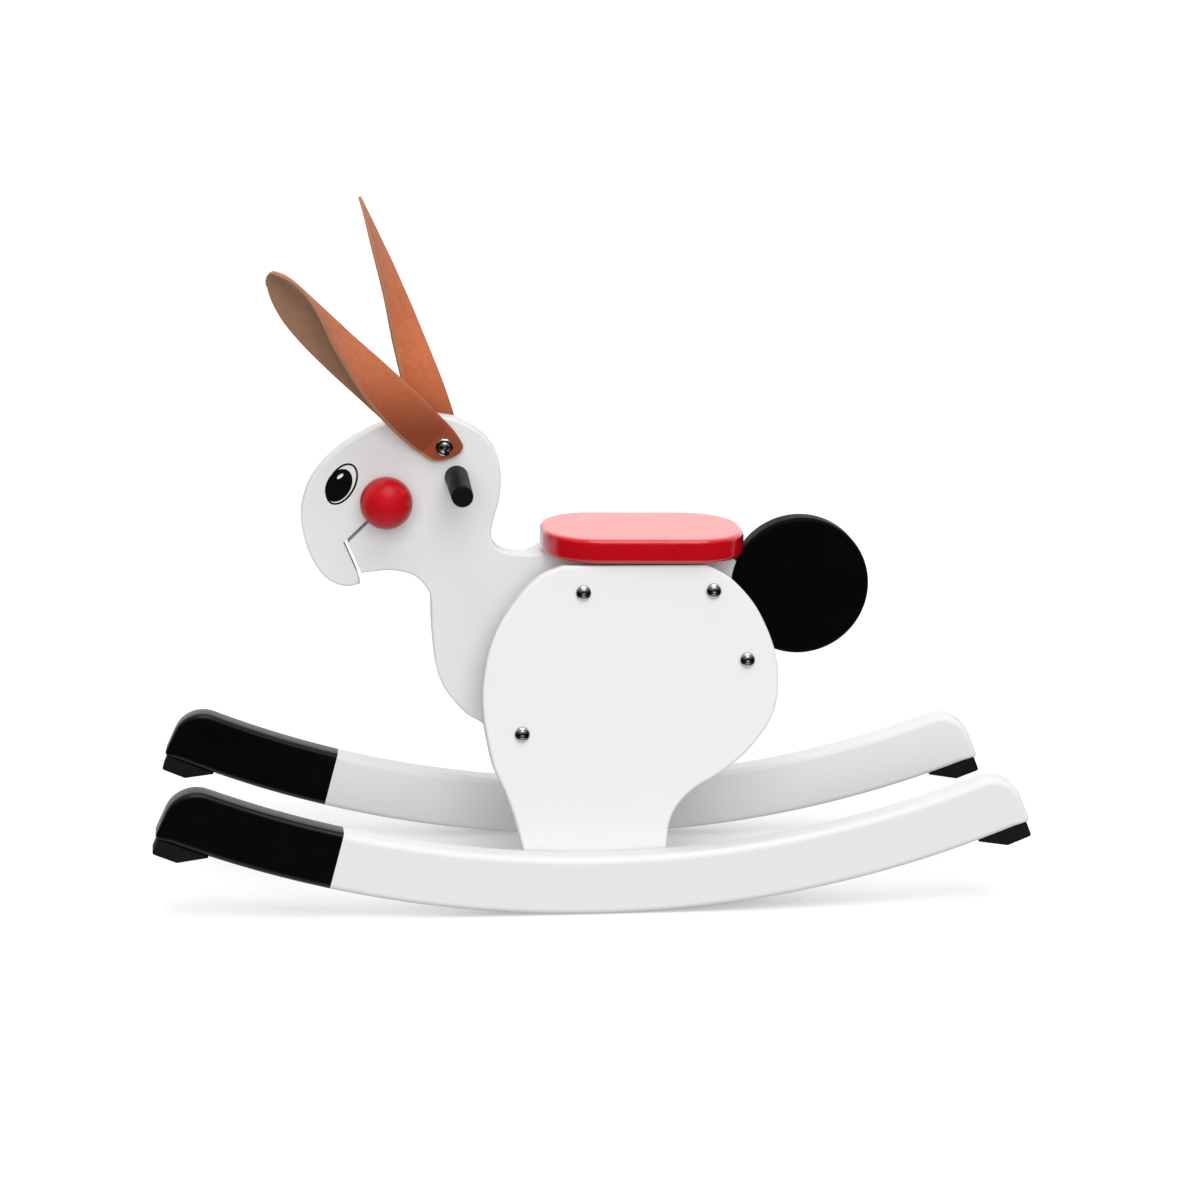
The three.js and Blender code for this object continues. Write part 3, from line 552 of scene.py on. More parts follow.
def rounded(profile, radii, steps):
    """Rounds the inner corners of an open line of points, each by its own radius."""
    result = [Vector(profile[0])]
    for i, radius in enumerate(radii, start=1):
        before, corner, after = (Vector(profile[k]) for k in (i - 1, i, i + 1))
        to_before, to_after = (before - corner).normalized(), (after - corner).normalized()
        half = math.acos(max(-1, min(1, to_before.dot(to_after)))) / 2
        if radius <= 0 or half > pi / 2 - 1e-3:
            result.append(corner)
            continue
        reach = radius / math.tan(half)
        middle = corner + (to_before + to_after).normalized() * radius / sin(half)
        first = corner + to_before * reach - middle
        last = corner + to_after * reach - middle
        sweep = math.atan2(first.x * last.y - first.y * last.x, first.dot(last))
        for k in range(steps + 1):
            turn = sweep * k / steps
            c, s = cos(turn), sin(turn)
            result.append(middle + Vector((first.x * c - first.y * s, first.x * s + first.y * c)))
    result.append(Vector(profile[-1]))
    return [tuple(p) for p in result]


UPRIGHT = spin(pi / 2, "X")


def facing(side):
    """Turns Y to run outwards on the given side."""
    return spin(pi if side < 0 else 0, "Z")


def side_place(side):
    """The middle of a rocker, turned by its toe."""
    return shift(0, side * ROCKER_SPREAD, 0) @ spin(-side * ROCKER_TOE, "Z")


def panel_place(side):
    """The line where a panel's outer face meets the rocker's inner face, leaning with the panel."""
    hinge = shift(PANEL_SHIFT, -side * (ROCKER_THICKNESS / 2 + GAP), PANEL_FOLD_HEIGHT)
    return side_place(side) @ hinge @ spin(side * PANEL_LEAN, "X")


def in_panel(height):
    """The distance up the slope of a panel for a height above the floor."""
    return (height - PANEL_FOLD_HEIGHT) / cos(PANEL_LEAN)


def bolt_place(side, place):
    """Y runs from the panel's outer face inwards."""
    x, height = BOLTS[place]
    return panel_place(side) @ shift(x, 0, in_panel(height)) @ facing(-side)


# ---- centre board and printed eyes ----
TAIL_REST = (radians(159), radians(230))  # the arc of the board that the tail lies in
SEAT_REST = (-46, 133)
MOUTH = [(-244.3, 345.6), (-222.2, 367.8), (-224.4, 370), (-248.6, 346.2)]
JAW_CORNER, TOOTH_SIDE, TOOTH_TIP = (-230.7, 315.1), (-235.3, 316.2), (-231.7, 304.2)
NECK = [(-140.2, 470.5), (-119.4, 460), (-105.4, 447.3), (-97.1, 432.1), (-93.8, 411),
        (-95.3, 389.9), (-100.7, 368.6), (-102.7, 354.4), (-99.5, 344.2), (-90, 337.2),
        (-74, 334.4), (-58, 334.2)]
CHEST = [(162, 232), (158, 221), (140, 208), (50, 180), (-20, 160), (-62, 144), (-80, 142),
         (-97, 149.5), (-110.2, 160.8), (-124.4, 169.4), (-136.3, 181.6), (-148.3, 198.8),
         (-155.5, 218.1), (-158.6, 239.9), (-160.7, 264), (-162.1, 290.2), (-168, 302.2),
         (-177.5, 311.7), (-191.4, 316.5), (-207.5, 317.7), JAW_CORNER]
FACE = [TOOTH_TIP, (-244.2, 301.6), (-258, 305.2), (-269.6, 314.2), (-281.1, 333.1), (-288, 354.3),
        (-290.2, 373.1), (-288, 389.5), (-281.2, 408.2), (-267.6, 426.9), (-249.4, 443.2),
        (-231.2, 454.9), (-210.8, 464.7), (-188, 471), (-163, 473.3), (-140.2, 470.5)]
CURVE_STEPS = 8
MOUTH_REACH = 1.5


def board_outline():
    points = catmull_rom(NECK, CURVE_STEPS)
    points += [Vector((x, SEAT_BOTTOM - GAP)) for x in SEAT_REST]
    points += arc((TAIL.x, TAIL.z), TAIL_RADIUS + GAP, *TAIL_REST, 36)
    points += [Vector(CHEST[0])] + catmull_rom(CHEST, CURVE_STEPS)
    points += [Vector(p) for p in MOUTH] + [Vector(TOOTH_SIDE), Vector(TOOTH_TIP)]
    points += catmull_rom(FACE, CURVE_STEPS)
    return points


def board_fillet(p):
    """The saw cut of the mouth has only broken edges."""
    near_mouth = min((p - Vector(q)).length for q in [*MOUTH, TOOTH_SIDE, JAW_CORNER])
    return MOUTH_FILLET if near_mouth < MOUTH_REACH else BOARD_FILLET


def rod(radius, start, end):
    return [(0, start), (radius, start), (radius, end), (0, end)]


def centre_board():
    bm = plate(board_outline(), BOARD_THICKNESS, board_fillet, UPRIGHT)
    board = mesh_piece("centre_board", "lacquered", bm, [WHITE])
    tool = bmesh.new()
    holes = ((HANDLE, HANDLE_HOLE), (BALL, CHEEK_DOWEL_RADIUS + GAP), (EAR_SCREW, EAR_SCREW_HOLE))
    for centre, radius in holes:
        turned(tool, rod(radius, -BOARD_THICKNESS, BOARD_THICKNESS), shift(centre.x, 0, centre.z))
    cut(board, tool)


EYE = Vector((-250.5, 405.2))
PUPIL = Vector((-253.5, 403.9))
GLINT = Vector((-252.0, 413.0))
# lengths and widths of the ellipses
EYE_SIZE, EYE_WHITE_SIZE, PUPIL_SIZE, GLINT_SIZE = (45, 27), (41, 23), (35, 24), (7.5, 3.2)
EYE_LEAN = radians(62)
GLINT_LEAN = radians(38)
INK = 0.08  # thickness of a layer


def ellipse(centre, size, lean, steps=96):
    c, s = cos(lean), sin(lean)
    points = []
    for i in range(steps):
        a = 2 * pi * i / steps
        u, v = size[0] / 2 * cos(a), size[1] / 2 * sin(a)
        points.append(centre + Vector((u * c - v * s, u * s + v * c)))
    return points


def eye_print(name, side):
    """Four layers of ink: the rim, the white, the pupil and its glint."""
    layers = [
        (ellipse(EYE, EYE_SIZE, EYE_LEAN), 0),
        (ellipse(EYE, EYE_WHITE_SIZE, EYE_LEAN), 1),
        (ellipse(PUPIL, PUPIL_SIZE, EYE_LEAN), 0),
        (ellipse(GLINT, GLINT_SIZE, GLINT_LEAN, 48), 1),
    ]
    bm = bmesh.new()
    for level, (points, material) in enumerate(layers):
        low, high = (
            [bm.verts.new((p.x, side * (BOARD_HALF + INK * k), p.y)) for p in points]
            for k in (level, level + 1)
        )
        for face in [*join_rings(bm, low, high), bm.faces.new(low), bm.faces.new(high)]:
            face.material_index = material
    mesh_piece(f"{name}_eye", "print", bm, [INK_BLACK, INK_WHITE])


# ---- haunch panels ----
def up_slope(points):
    """Points of a panel's outline, from their heights measured up the slope from the floor."""
    return [(x, slope - PANEL_FOLD_HEIGHT / cos(PANEL_LEAN)) for x, slope in points]


PANEL_FOOT = in_panel(PANEL_FOOT_HEIGHT)
PANEL_FOOT_ENDS = (56, -54)
PANEL_REAR = up_slope([
    (107.5, 339.5), (118.5, 334.5), (134, 324.6), (154.1, 302.7), (167.7, 278.6), (177.3, 252.2),
    (180.4, 230.3), (179.6, 208.4), (174.2, 188.8), (162.2, 169.2), (144.7, 149.7),
    (120.6, 131.5), (103, 121.9), (88.7, 111.2), (77.8, 98.3), (71.3, 83.1), (68.9, 63.4),
]) + [(66, -24), (62, PANEL_FOOT + PANEL_FOOT_EASE)]
PANEL_FRONT = [(-62, PANEL_FOOT + PANEL_FOOT_EASE), (-70, -20)] + up_slope([
    (-75.2, 64.2), (-82.9, 92.7), (-91.7, 116.8), (-102.6, 140.9), (-108.1, 162.6),
    (-112.5, 186.5), (-114.1, 206), (-113.4, 225.4), (-108.5, 253.4), (-98.9, 279.2),
    (-83.9, 302.7), (-66.7, 322), (-51.6, 332.6), (-34, 339.5),
])


def box(bm, low, high, place=Matrix.Identity(4)):
    size = Vector(high) - Vector(low)
    middle = (Vector(high) + Vector(low)) / 2
    fit = shift(*middle) @ Matrix.Diagonal((*size, 1))
    bmesh.ops.create_cube(bm, size=1, matrix=place @ fit)


def haunch_panel(name, side):
    """A leaning board whose foot is cut upright against the rocker and whose top is cut level."""
    points = [Vector(PANEL_REAR[0])] + catmull_rom(PANEL_REAR, CURVE_STEPS)
    points += [Vector((x, PANEL_FOOT)) for x in PANEL_FOOT_ENDS] + [Vector(PANEL_FRONT[0])]
    points += catmull_rom(PANEL_FRONT, CURVE_STEPS)
    inset = shift(0, -side * PANEL_THICKNESS / 2, 0)
    bm = plate(points, PANEL_THICKNESS, PANEL_FILLET, panel_place(side) @ inset @ UPRIGHT)
    panel = mesh_piece(f"{name}_haunch_panel", "lacquered", bm, [WHITE])
    tool = bmesh.new()
    near, far = sorted((-side * (ROCKER_THICKNESS / 2 + GAP), side * BEYOND / 2))
    box(tool, (-BEYOND, near, -BEYOND / 2), (BEYOND, far, PANEL_FOLD_HEIGHT), side_place(side))
    box(tool, (-BEYOND, -BEYOND, SEAT_BOTTOM - GAP), (BEYOND, BEYOND, SEAT_TOP))
    for place in BOLTS:
        turned(tool, rod(BOLT_HOLE, -2, PANEL_THICKNESS + 2), bolt_place(side, place), 32)
    cut(panel, tool)


# ---- rockers and stops ----
def ease(part):
    return part * part * (3 - 2 * part)


def swing(angle, radius):
    """A point at an angle from straight down, seen from the centre of the sole's curve."""
    return Vector((radius * sin(angle), ROCKER_RADIUS - radius * cos(angle)))


def swing_arc(start, end, radius, steps):
    return [swing(start + (end - start) * i / steps, radius) for i in range(steps + 1)]


def tip_points(direction):
    """The rounded end of a rocker, from sole to top."""
    end = math.asin(ROCKER_HALF_LENGTH / ROCKER_RADIUS)
    points = []
    corners = [
        (TIP_SOLE_RADIUS, ROCKER_RADIUS - TIP_SOLE_RADIUS, 0),
        (TIP_TOP_RADIUS, ROCKER_RADIUS - ROCKER_HEIGHT + TIP_TOP_RADIUS, pi / 2),
    ]
    for radius, distance, turned_by in corners:
        centre = swing(end - math.asin(radius / distance), distance)
        for i in range(TIP_STEPS + 1):
            angle = end + turned_by + pi / 2 * i / TIP_STEPS
            p = centre + radius * Vector((sin(angle), -cos(angle)))
            points.append(Vector((direction * p.x, p.y)))
    return points


def rocker_fillet(p):
    """The rounding tightens towards the small corner where sole and tip meet."""
    tip_angle = math.asin(ROCKER_HALF_LENGTH / ROCKER_RADIUS)
    corner = swing(tip_angle, ROCKER_RADIUS - TIP_SOLE_RADIUS)
    distance = (Vector((abs(p.x), p.y)) - corner).length
    blend = min(1, max(0, (distance - TIP_FILLET_START) / TIP_FILLET_SPAN))
    return TIP_FILLET + (ROCKER_FILLET - TIP_FILLET) * ease(blend)


def rocker(name, side):
    """A curved board, painted white, with a black nose end up to a line from the swing centre."""
    top_radius = ROCKER_RADIUS - ROCKER_HEIGHT
    points = swing_arc(-ROCKER_SOLE_END, ROCKER_SOLE_END, ROCKER_RADIUS, ROCKER_STEPS)
    points += tip_points(1)
    points += swing_arc(ROCKER_TOP_END, -ROCKER_TOP_END, top_radius, ROCKER_STEPS)
    points += tip_points(-1)[::-1]
    place = side_place(side)
    bm = plate(points, ROCKER_THICKNESS, rocker_fillet, place @ UPRIGHT)
    across = place.to_3x3() @ Vector((cos(PAINT_ANGLE), 0, sin(PAINT_ANGLE)))
    centre = place @ Vector((0, 0, ROCKER_RADIUS))
    everything = bm.verts[:] + bm.edges[:] + bm.faces[:]
    bmesh.ops.bisect_plane(bm, geom=everything, plane_co=centre, plane_no=across)
    for face in bm.faces:
        nose_side = (face.calc_center_median() - centre).dot(across) < 0
        face.material_index = 1 if nose_side else 0
    mesh_piece(f"{name}_rocker", "lacquered", bm, [WHITE, BLACK])


def rubber_stop(name, side, end, direction):
    inner = ROCKER_RADIUS + GAP
    outer = ROCKER_RADIUS + STOP_DEPTH
    points = swing_arc(STOP_TAPER, STOP_TIP, inner, 12)
    corners = [swing(STOP_TIP, inner), swing(STOP_TIP, outer), swing(STOP_HEEL, outer),
               swing(STOP_TAPER, inner + STOP_LIP), swing(STOP_TAPER, inner)]
    points += [Vector(p) for p in rounded(corners, STOP_CORNERS, 4)][1:-1]
    points = [Vector((direction * p.x, p.y)) for p in points]
    bm = plate(points, STOP_WIDTH, STOP_FILLET, side_place(side) @ UPRIGHT)
    stop = mesh_piece(f"{name}_{end}_stop", "moulded", bm, [RUBBER])
    tool = bmesh.new()
    tilt = spin(-direction * STOP_SCREW_ANGLE, "Y")
    down = spin(-pi / 2, "X")
    place = side_place(side) @ shift(0, 0, ROCKER_RADIUS) @ tilt @ down
    turned(tool, rod(STOP_POCKET_RADIUS, outer - STOP_POCKET_DEPTH, outer + 3), place, 32)
    cut(stop, tool)


# ---- seat, tail, balls and handle ----
def seat_board():
    half = SEAT_WIDTH / 2 - SEAT_CORNER
    centres = [(SEAT_END - SEAT_CORNER, half), (SEAT_START + SEAT_CORNER, half),
               (SEAT_START + SEAT_CORNER, -half), (SEAT_END - SEAT_CORNER, -half)]
    points = []
    for quarter, centre in enumerate(centres):
        start = quarter * pi / 2
        points += arc(centre, SEAT_CORNER, start, start + pi / 2, 32)
    middle = shift(0, 0, (SEAT_BOTTOM + SEAT_TOP) / 2)
    bm = plate(points, SEAT_TOP - SEAT_BOTTOM, SEAT_FILLET, middle)
    mesh_piece("seat_board", "lacquered", bm, [SEAT_RED_PAINTED_LIGHT])


def with_cap_rims(profile, radius):
    """Adds a ring to each flat end of a turned profile, so that the flats are shaded flat."""
    first, last = profile[0], profile[-1]
    return [first, (radius, first[1]), *profile[1:-1], (radius, last[1]), last]


def tail_disc():
    half = TAIL_THICKNESS / 2
    line = rounded(rod(TAIL_RADIUS, -half, half), [TAIL_FILLET, TAIL_FILLET], 8)
    bm = bmesh.new()
    turned(bm, with_cap_rims(line, TAIL_RADIUS - TAIL_FILLET - TAIL_CAP_RIM), shift(*TAIL), 192)
    mesh_piece("tail_disc", "lacquered", bm, [DISC_BLACK])


def cheek_ball(name, side):
    """A ball with a small flat against the board and a blind hole for its dowel."""
    flat = BOARD_HALF + GAP - BALL.y
    start = math.asin(flat / BALL_RADIUS)
    hole, hole_end = CHEEK_DOWEL_RADIUS + GAP, CHEEK_DOWEL_REACH + GAP - BALL.y
    profile = [(0, hole_end), (hole, hole_end), (hole, flat)]
    for i in range(BALL_STEPS):
        a = start + (pi / 2 - start) * i / BALL_STEPS
        profile.append((BALL_RADIUS * cos(a), BALL_RADIUS * sin(a)))
    profile.append((0, BALL_RADIUS))
    bm = bmesh.new()
    turned(bm, profile, shift(BALL.x, side * BALL.y, BALL.z) @ facing(side), 80)
    mesh_piece(f"{name}_cheek_ball", "lacquered", bm, [SATIN_RED])


def handle_rod():
    neck = BOARD_HALF + HANDLE_NECK
    corners = [(0, -HANDLE_REACH), (HANDLE_END, -HANDLE_REACH), (HANDLE_MIDDLE, -neck),
               (HANDLE_MIDDLE, neck), (HANDLE_END, HANDLE_REACH), (0, HANDLE_REACH)]
    line = rounded(corners, [HANDLE_FILLET, 0, 0, HANDLE_FILLET], 8)
    bm = bmesh.new()
    turned(bm, with_cap_rims(line, HANDLE_END - HANDLE_CAP_RIM), shift(*HANDLE), 64)
    mesh_piece("handle_rod", "lacquered", bm, [SATIN_BLACK])


# ---- fasteners ----
SCREW_RIM = 0.25  # share of the head's height below its dome


def button_screw(node, place, head, height, socket, shank, length):
    """A domed screw with a drilled hexagon socket. Y runs from under its head towards its tip."""
    rise = [(head * sin(a), -height * (SCREW_RIM + (1 - SCREW_RIM) * cos(a)))
            for a in (pi / 2 * k / 10 for k in range(11))]
    flat = socket * 1.25
    dome = [p for p in rise if p[0] > flat + 0.5]
    top = -height * 0.99
    depth = -height * 0.35
    profile = [(0, depth + 0.9), (socket * 0.97, depth), (socket, depth - 0.1), (socket, top + 0.3),
               (socket * 1.07, top), (flat + 0.2, top), *dome, (head, -0.25), (head - 0.25, 0),
               (shank, 0), (shank, length - 1), (shank - 1, length), (0, length)]
    bm = bmesh.new()
    turned(bm, profile, place, 72, hexagon=(1, 2, 3, 4))
    mesh_piece(node, "polished", bm, [DARK_CHROME], sharp=40)


def along_bolt(place):
    return place.to_3x3() @ Vector((0, 1, 0))


def haunch_fasteners(name, side):
    for spot in BOLTS:
        place = bolt_place(side, spot)
        board = (abs(place.translation.y) - BOARD_HALF) / abs(along_bolt(place).y)
        button_screw(f"{name}_{spot}_bolt", place @ shift(0, -GAP, 0), **BOLT_FORM,
                     length=board + BOLT_IN_BOARD)
        spacer(f"{name}_{spot}_spacer", place, side)


def spacer(node, place, side, segments=64):
    """A turned sleeve, square to the panel at one end and cut to the board's face at the other."""
    bm = bmesh.new()
    along = along_bolt(place)
    target = side * (BOARD_HALF + GAP)
    rim = SPACER_RADIUS - SPACER_CHAMFER
    sections = [(BOLT_HOLE, 0), (rim, 0), (SPACER_RADIUS, SPACER_CHAMFER)]
    rings = []
    for index, (radius, inset) in enumerate(sections + sections[::-1]):
        ring = []
        for i in range(segments):
            a = 2 * pi * i / segments
            base = place @ Vector((radius * cos(a), 0, radius * sin(a)))
            at_board = (target - base.y) / along.y - inset
            at_panel = PANEL_THICKNESS + GAP + inset
            ring.append(bm.verts.new(base + along * (at_panel if index < 3 else at_board)))
        rings.append(ring)
    for low, high in zip(rings, rings[1:] + rings[:1]):
        join_rings(bm, low, high)
    mesh_piece(node, "turned", bm, [BEECH])


def ear_fasteners(name, side):
    """A washer on the leather, with a bevelled rim, and the screw through it."""
    outside = BOARD_HALF + 2 * EAR_THICKNESS + EAR_AIR + 2 * GAP
    bore, top = EAR_SCREW_HOLE, WASHER_THICKNESS
    corners = [(bore, top / 2), (bore, 0), (WASHER_RADIUS, 0), (WASHER_RADIUS, WASHER_EDGE),
               (WASHER_RIM, top), (bore, top), (bore, top / 2)]
    profile = rounded(corners, WASHER_ROUNDING, 3)
    bm = bmesh.new()
    place = shift(EAR_SCREW.x, side * outside, EAR_SCREW.z) @ facing(side)
    turned(bm, profile[:-1] + [profile[0]], place, 96)
    bmesh.ops.remove_doubles(bm, verts=bm.verts[:], dist=1e-5)
    mesh_piece(f"{name}_ear_washer", "polished", bm, [DARK_CHROME], sharp=30)
    seat = outside + WASHER_THICKNESS
    place = shift(EAR_SCREW.x, side * (seat + GAP), EAR_SCREW.z) @ facing(-side)
    button_screw(f"{name}_ear_screw", place, **EAR_SCREW_FORM, length=seat - EAR_SCREW_SHORT)


# ---- ears ----
# distances along the ear, from its screw towards the tip
EAR_LENGTH = 245.6
EAR_START = -15.0
EAR_NECK = 12.0  # below this the washer presses the leaf shut
EAR_HALF_WIDTH = [(EAR_START, 2.5), (-14.4, 8.5), (-13, 14.5), (-11, 20), (-6, 29.3), (0, 35.3),
                  (EAR_NECK, 39.2), (25, 41.5), (55, 43.5), (100, 44.5), (140, 45.2), (175, 44.8),
                  (200, 42.3), (218, 37.5), (230, 31.5), (238, 24), (242, 17.5), (244, 12),
                  (245.2, 6), (EAR_LENGTH, 1)]
# how far forward of the screw's line the fold lies
SPINE_START = [(EAR_START, -8), (-14.2, -10.6), (-13, -11.9), (-11, -13), (-6, -14.6)]
EAR_SPINE = {
    "left": SPINE_START + [(4, -16.6), (25, -18.3), (60, -20.2), (100, -20.5), (150, -20.4),
                           (200, -20.6), (230, -19.6), (244, -14.5), (EAR_LENGTH, -11.5)],
    "right": SPINE_START + [(4, -17), (25, -20), (60, -22.2), (100, -22.7), (150, -22.4),
                            (200, -20.7), (EAR_LENGTH, -17.9)],
}
# how far the fold has leant outwards
EAR_LEAN = [(EAR_NECK, 0), (40, 11), (75, 23.5), (120, 38), (180, 54), (EAR_LENGTH, 68.9)]
# degrees by which the outer and inner halves have swung open from the closed fold
EAR_OPENING = {
    "left": ([(EAR_NECK, 0), (40, 7), (70, 22), (100, 38.5), (125, 53), (150, 66.5), (164, 73.5),
              (175, 80), (189, 87), (200, 91.5), (212, 95), (225, 95.5), (EAR_LENGTH, 94)],
             [(EAR_NECK, 0), (EAR_LENGTH, 12.4)]),
    "right": ([(EAR_NECK, 0), (40, 14.5), (70, 30.5), (100, 43.5), (125, 54), (150, 63), (175, 70),
               (200, 76), (225, 83), (EAR_LENGTH, 89)],) * 2,
}
# radius of the fold: tight at the neck, open at the tip, and never too wide for the leaf
FOLD_TIGHT, FOLD_GROWTH, FOLD_SPAN, FOLD_POWER, FOLD_WIDEST = 2, 10, 226, 1.2, 0.45
# ripples of the leather: height, length, how many across, and where they start and are full
RIPPLE_HEIGHT, RIPPLE_LENGTH, RIPPLES_ACROSS = 0.35, 38, 5
RIPPLE_START, RIPPLE_SPAN = 20, 60
ROW_CROWDING = 0.6  # how far the rows crowd towards both ends of the ear
EAR_ROWS = 120
EAR_COLUMNS = 14
EAR_SHARP = 60


def smooth_table(table, s):
    """Value at s of a smooth curve through a table of (s, value)."""
    i = 1
    while i < len(table) - 1 and table[i][0] < s:
        i += 1
    (s0, v0), (s1, v1) = table[i - 1], table[i]

    def slope(k):
        k0, k1 = max(k - 1, 0), min(k + 1, len(table) - 1)
        return (table[k1][1] - table[k0][1]) / (table[k1][0] - table[k0][0])

    span = s1 - s0
    t = (s - s0) / span
    m0, m1 = slope(i - 1) * span, slope(i) * span
    return ((2 * t ** 3 - 3 * t ** 2 + 1) * v0 + (t ** 3 - 2 * t ** 2 + t) * m0
            + (3 * t ** 2 - 2 * t ** 3) * v1 + (t ** 3 - t ** 2) * m1)


def ear_value(table, s):
    """As smooth_table, but nothing opens or leans below the washer."""
    return smooth_table(table, s) if s > table[0][0] else 0.0


def ear_middle(name, s):
    """The middle line of the folded leaf at s, as (forward, outward, direction)."""
    width = smooth_table(EAR_HALF_WIDTH, s)
    growth = (max(0.0, s - EAR_NECK) / FOLD_SPAN) ** FOLD_POWER
    radius = min(FOLD_TIGHT + FOLD_GROWTH * growth, width * FOLD_WIDEST)
    centre = (smooth_table(EAR_SPINE[name], s) + radius, ear_value(EAR_LEAN, s))

    def half(opened, sign):
        tangent = radians(opened)
        sweep = pi / 2 - tangent
        straight = width - radius * sweep

        def on_fold(a):
            return centre[0] - radius * sin(a), centre[1] + sign * radius * cos(a)

        p, n = on_fold(tangent)
        line = []
        for i in range(EAR_COLUMNS + 1):
            run = straight * (1 - i / EAR_COLUMNS)
            line.append((p + run * cos(tangent), n + sign * run * sin(tangent),
                         sign * tangent))
        for i in range(1, EAR_COLUMNS // 2):
            a = tangent + sweep * i / (EAR_COLUMNS // 2)
            line.append((*on_fold(a), sign * a))
        return line

    outer, inner = (ear_value(table, s) for table in EAR_OPENING[name])
    fold = (centre[0] - radius, centre[1], pi / 2)
    return half(outer, 1) + [fold] + half(inner, -1)[::-1]


GRAIN_SIDE, FLESH_SIDE, CUT_SIDE = 0, 1, 2
# the cut edge of the leaf in section: millimetres inwards, and the share of half the thickness
CUT_SECTION = [(0.55, 1.0), (0.16, 0.88), (0.0, 0.6), (-0.04, 0.0), (0.0, -0.6), (0.16, -0.88),
               (0.55, -1.0)]


def ear_ring(name, s):
    """The section of the leaf at s, as a closed ring of points, each with its side of the leaf."""
    middle = ear_middle(name, s)
    count = len(middle)
    half_thick = EAR_THICKNESS / 2
    share = min(1, max(0, s - RIPPLE_START) / RIPPLE_SPAN)
    frames = []
    for i, (p, n, direction) in enumerate(middle):
        turn = direction if i < count / 2 else direction + pi
        wave = Vector((s / RIPPLE_LENGTH, RIPPLES_ACROSS * i / count, 3 * len(name)))
        ripple = RIPPLE_HEIGHT * noise.noise(wave) * share
        normal = Vector((-sin(turn), cos(turn)))
        frames.append((Vector((p, n)) + ripple * normal, normal, turn))
    grain, flesh = (
        [at + face * half_thick * normal for at, normal, _ in frames[1:-1]] for face in (1, -1)
    )
    cuts = []
    for (at, normal, turn), outwards in ((frames[0], 1), (frames[-1], -1)):
        along = Vector((cos(turn), sin(turn))) * outwards
        across = normal * half_thick
        cuts.append([at - along * inset + across * part for inset, part in CUT_SECTION])
    parts = ((grain, GRAIN_SIDE), (cuts[1], CUT_SIDE), (flesh[::-1], FLESH_SIDE),
             (cuts[0][::-1], CUT_SIDE))
    return [(p, part) for points, part in parts for p in points]


def leaf_size(steps=240):
    """Width, length and area of the leather leaf before it is folded, in millimetres."""
    stations = [EAR_START + (EAR_LENGTH - EAR_START) * i / steps for i in range(steps + 1)]
    length = area = 0.0
    for low, high in zip(stations, stations[1:]):
        along = math.hypot(high - low, ear_value(EAR_LEAN, high) - ear_value(EAR_LEAN, low))
        length += along
        area += along * (smooth_table(EAR_HALF_WIDTH, low) + smooth_table(EAR_HALF_WIDTH, high))
    return 2 * max(smooth_table(EAR_HALF_WIDTH, s) for s in stations), length, area


def ear(name, side):
    """A folded leaf of leather: grain outside, flesh inside, and a cut edge all round."""
    base = BOARD_HALF + GAP + EAR_THICKNESS + EAR_AIR / 2
    place = shift(EAR_SCREW.x, 0, EAR_SCREW.z) @ spin(-EAR_TILT[name], "Y")
    bm = bmesh.new()
    rows = []
    for row in range(EAR_ROWS + 1):
        part = row / EAR_ROWS
        part = ease(part) * ROW_CROWDING + part * (1 - ROW_CROWDING)
        s = EAR_START + (EAR_LENGTH - EAR_START) * part
        ring = ear_ring(name, s)
        rows.append([bm.verts.new(place @ Vector((-p.x, side * (base + p.y), s))) for p, _ in ring])
    materials = [material for _, material in ring]
    afters = materials[1:] + materials[:1]
    for low, high in zip(rows, rows[1:]):
        for face, material, after in zip(join_rings(bm, low, high), materials, afters):
            face.material_index = material if material == after else CUT_SIDE
    for ring in (rows[0], rows[-1]):
        close_leaf(bm, ring)
    piece = mesh_piece(f"{name}_ear", "leather", bm, [GRAIN, FLESH, CUT_EDGE],
                       f"{name}_ear", sharp=EAR_SHARP)
    tool = bmesh.new()
    turned(tool, rod(EAR_HOLE, -30, 30), shift(*EAR_SCREW), 32)
    cut(piece, tool, EAR_SHARP)
    width, length, area = leaf_size()


def close_leaf(bm, ring):
    """Closes an end of the leaf with a strip of faces from one side of the leather to the other."""
    middle = len(CUT_SECTION) // 2
    ring = ring[-middle:] + ring[:-middle]
    for i in range(len(ring) // 2):
        j = len(ring) - 1 - i
        corners = (ring[i], ring[i + 1], ring[j - 1], ring[j])
        if len(set(corners)) > 2:
            bm.faces.new(dict.fromkeys(corners)).material_index = CUT_SIDE


# ---- CAD nodes that stay ----
def paint_cad_nodes():
    """Inner and small pieces keep their CAD shape."""
    finishes = {
        "beech": BEECH, "brass": BRASS, "zinc_steel": ZINC, "dark_chrome": DARK_CHROME,
        "rubber": RUBBER, "white_lacquer": WHITE, "black_lacquer": BLACK, "red_lacquer": SATIN_RED,
        "tan_leather": GRAIN,
    }
    slots = {part["node"]: part["material_slot"] for part in frame["record"]["subparts"]}
    for name, node in frame["nodes"].items():
        node.data.materials.clear()
        node.data.materials.append(finishes[slots[name]])


# ---- floor and light ----
FLOOR_WHITE, FLOOR_GLOW = 0.82, 0.14
FLOOR_REACH = 60.0  # metres


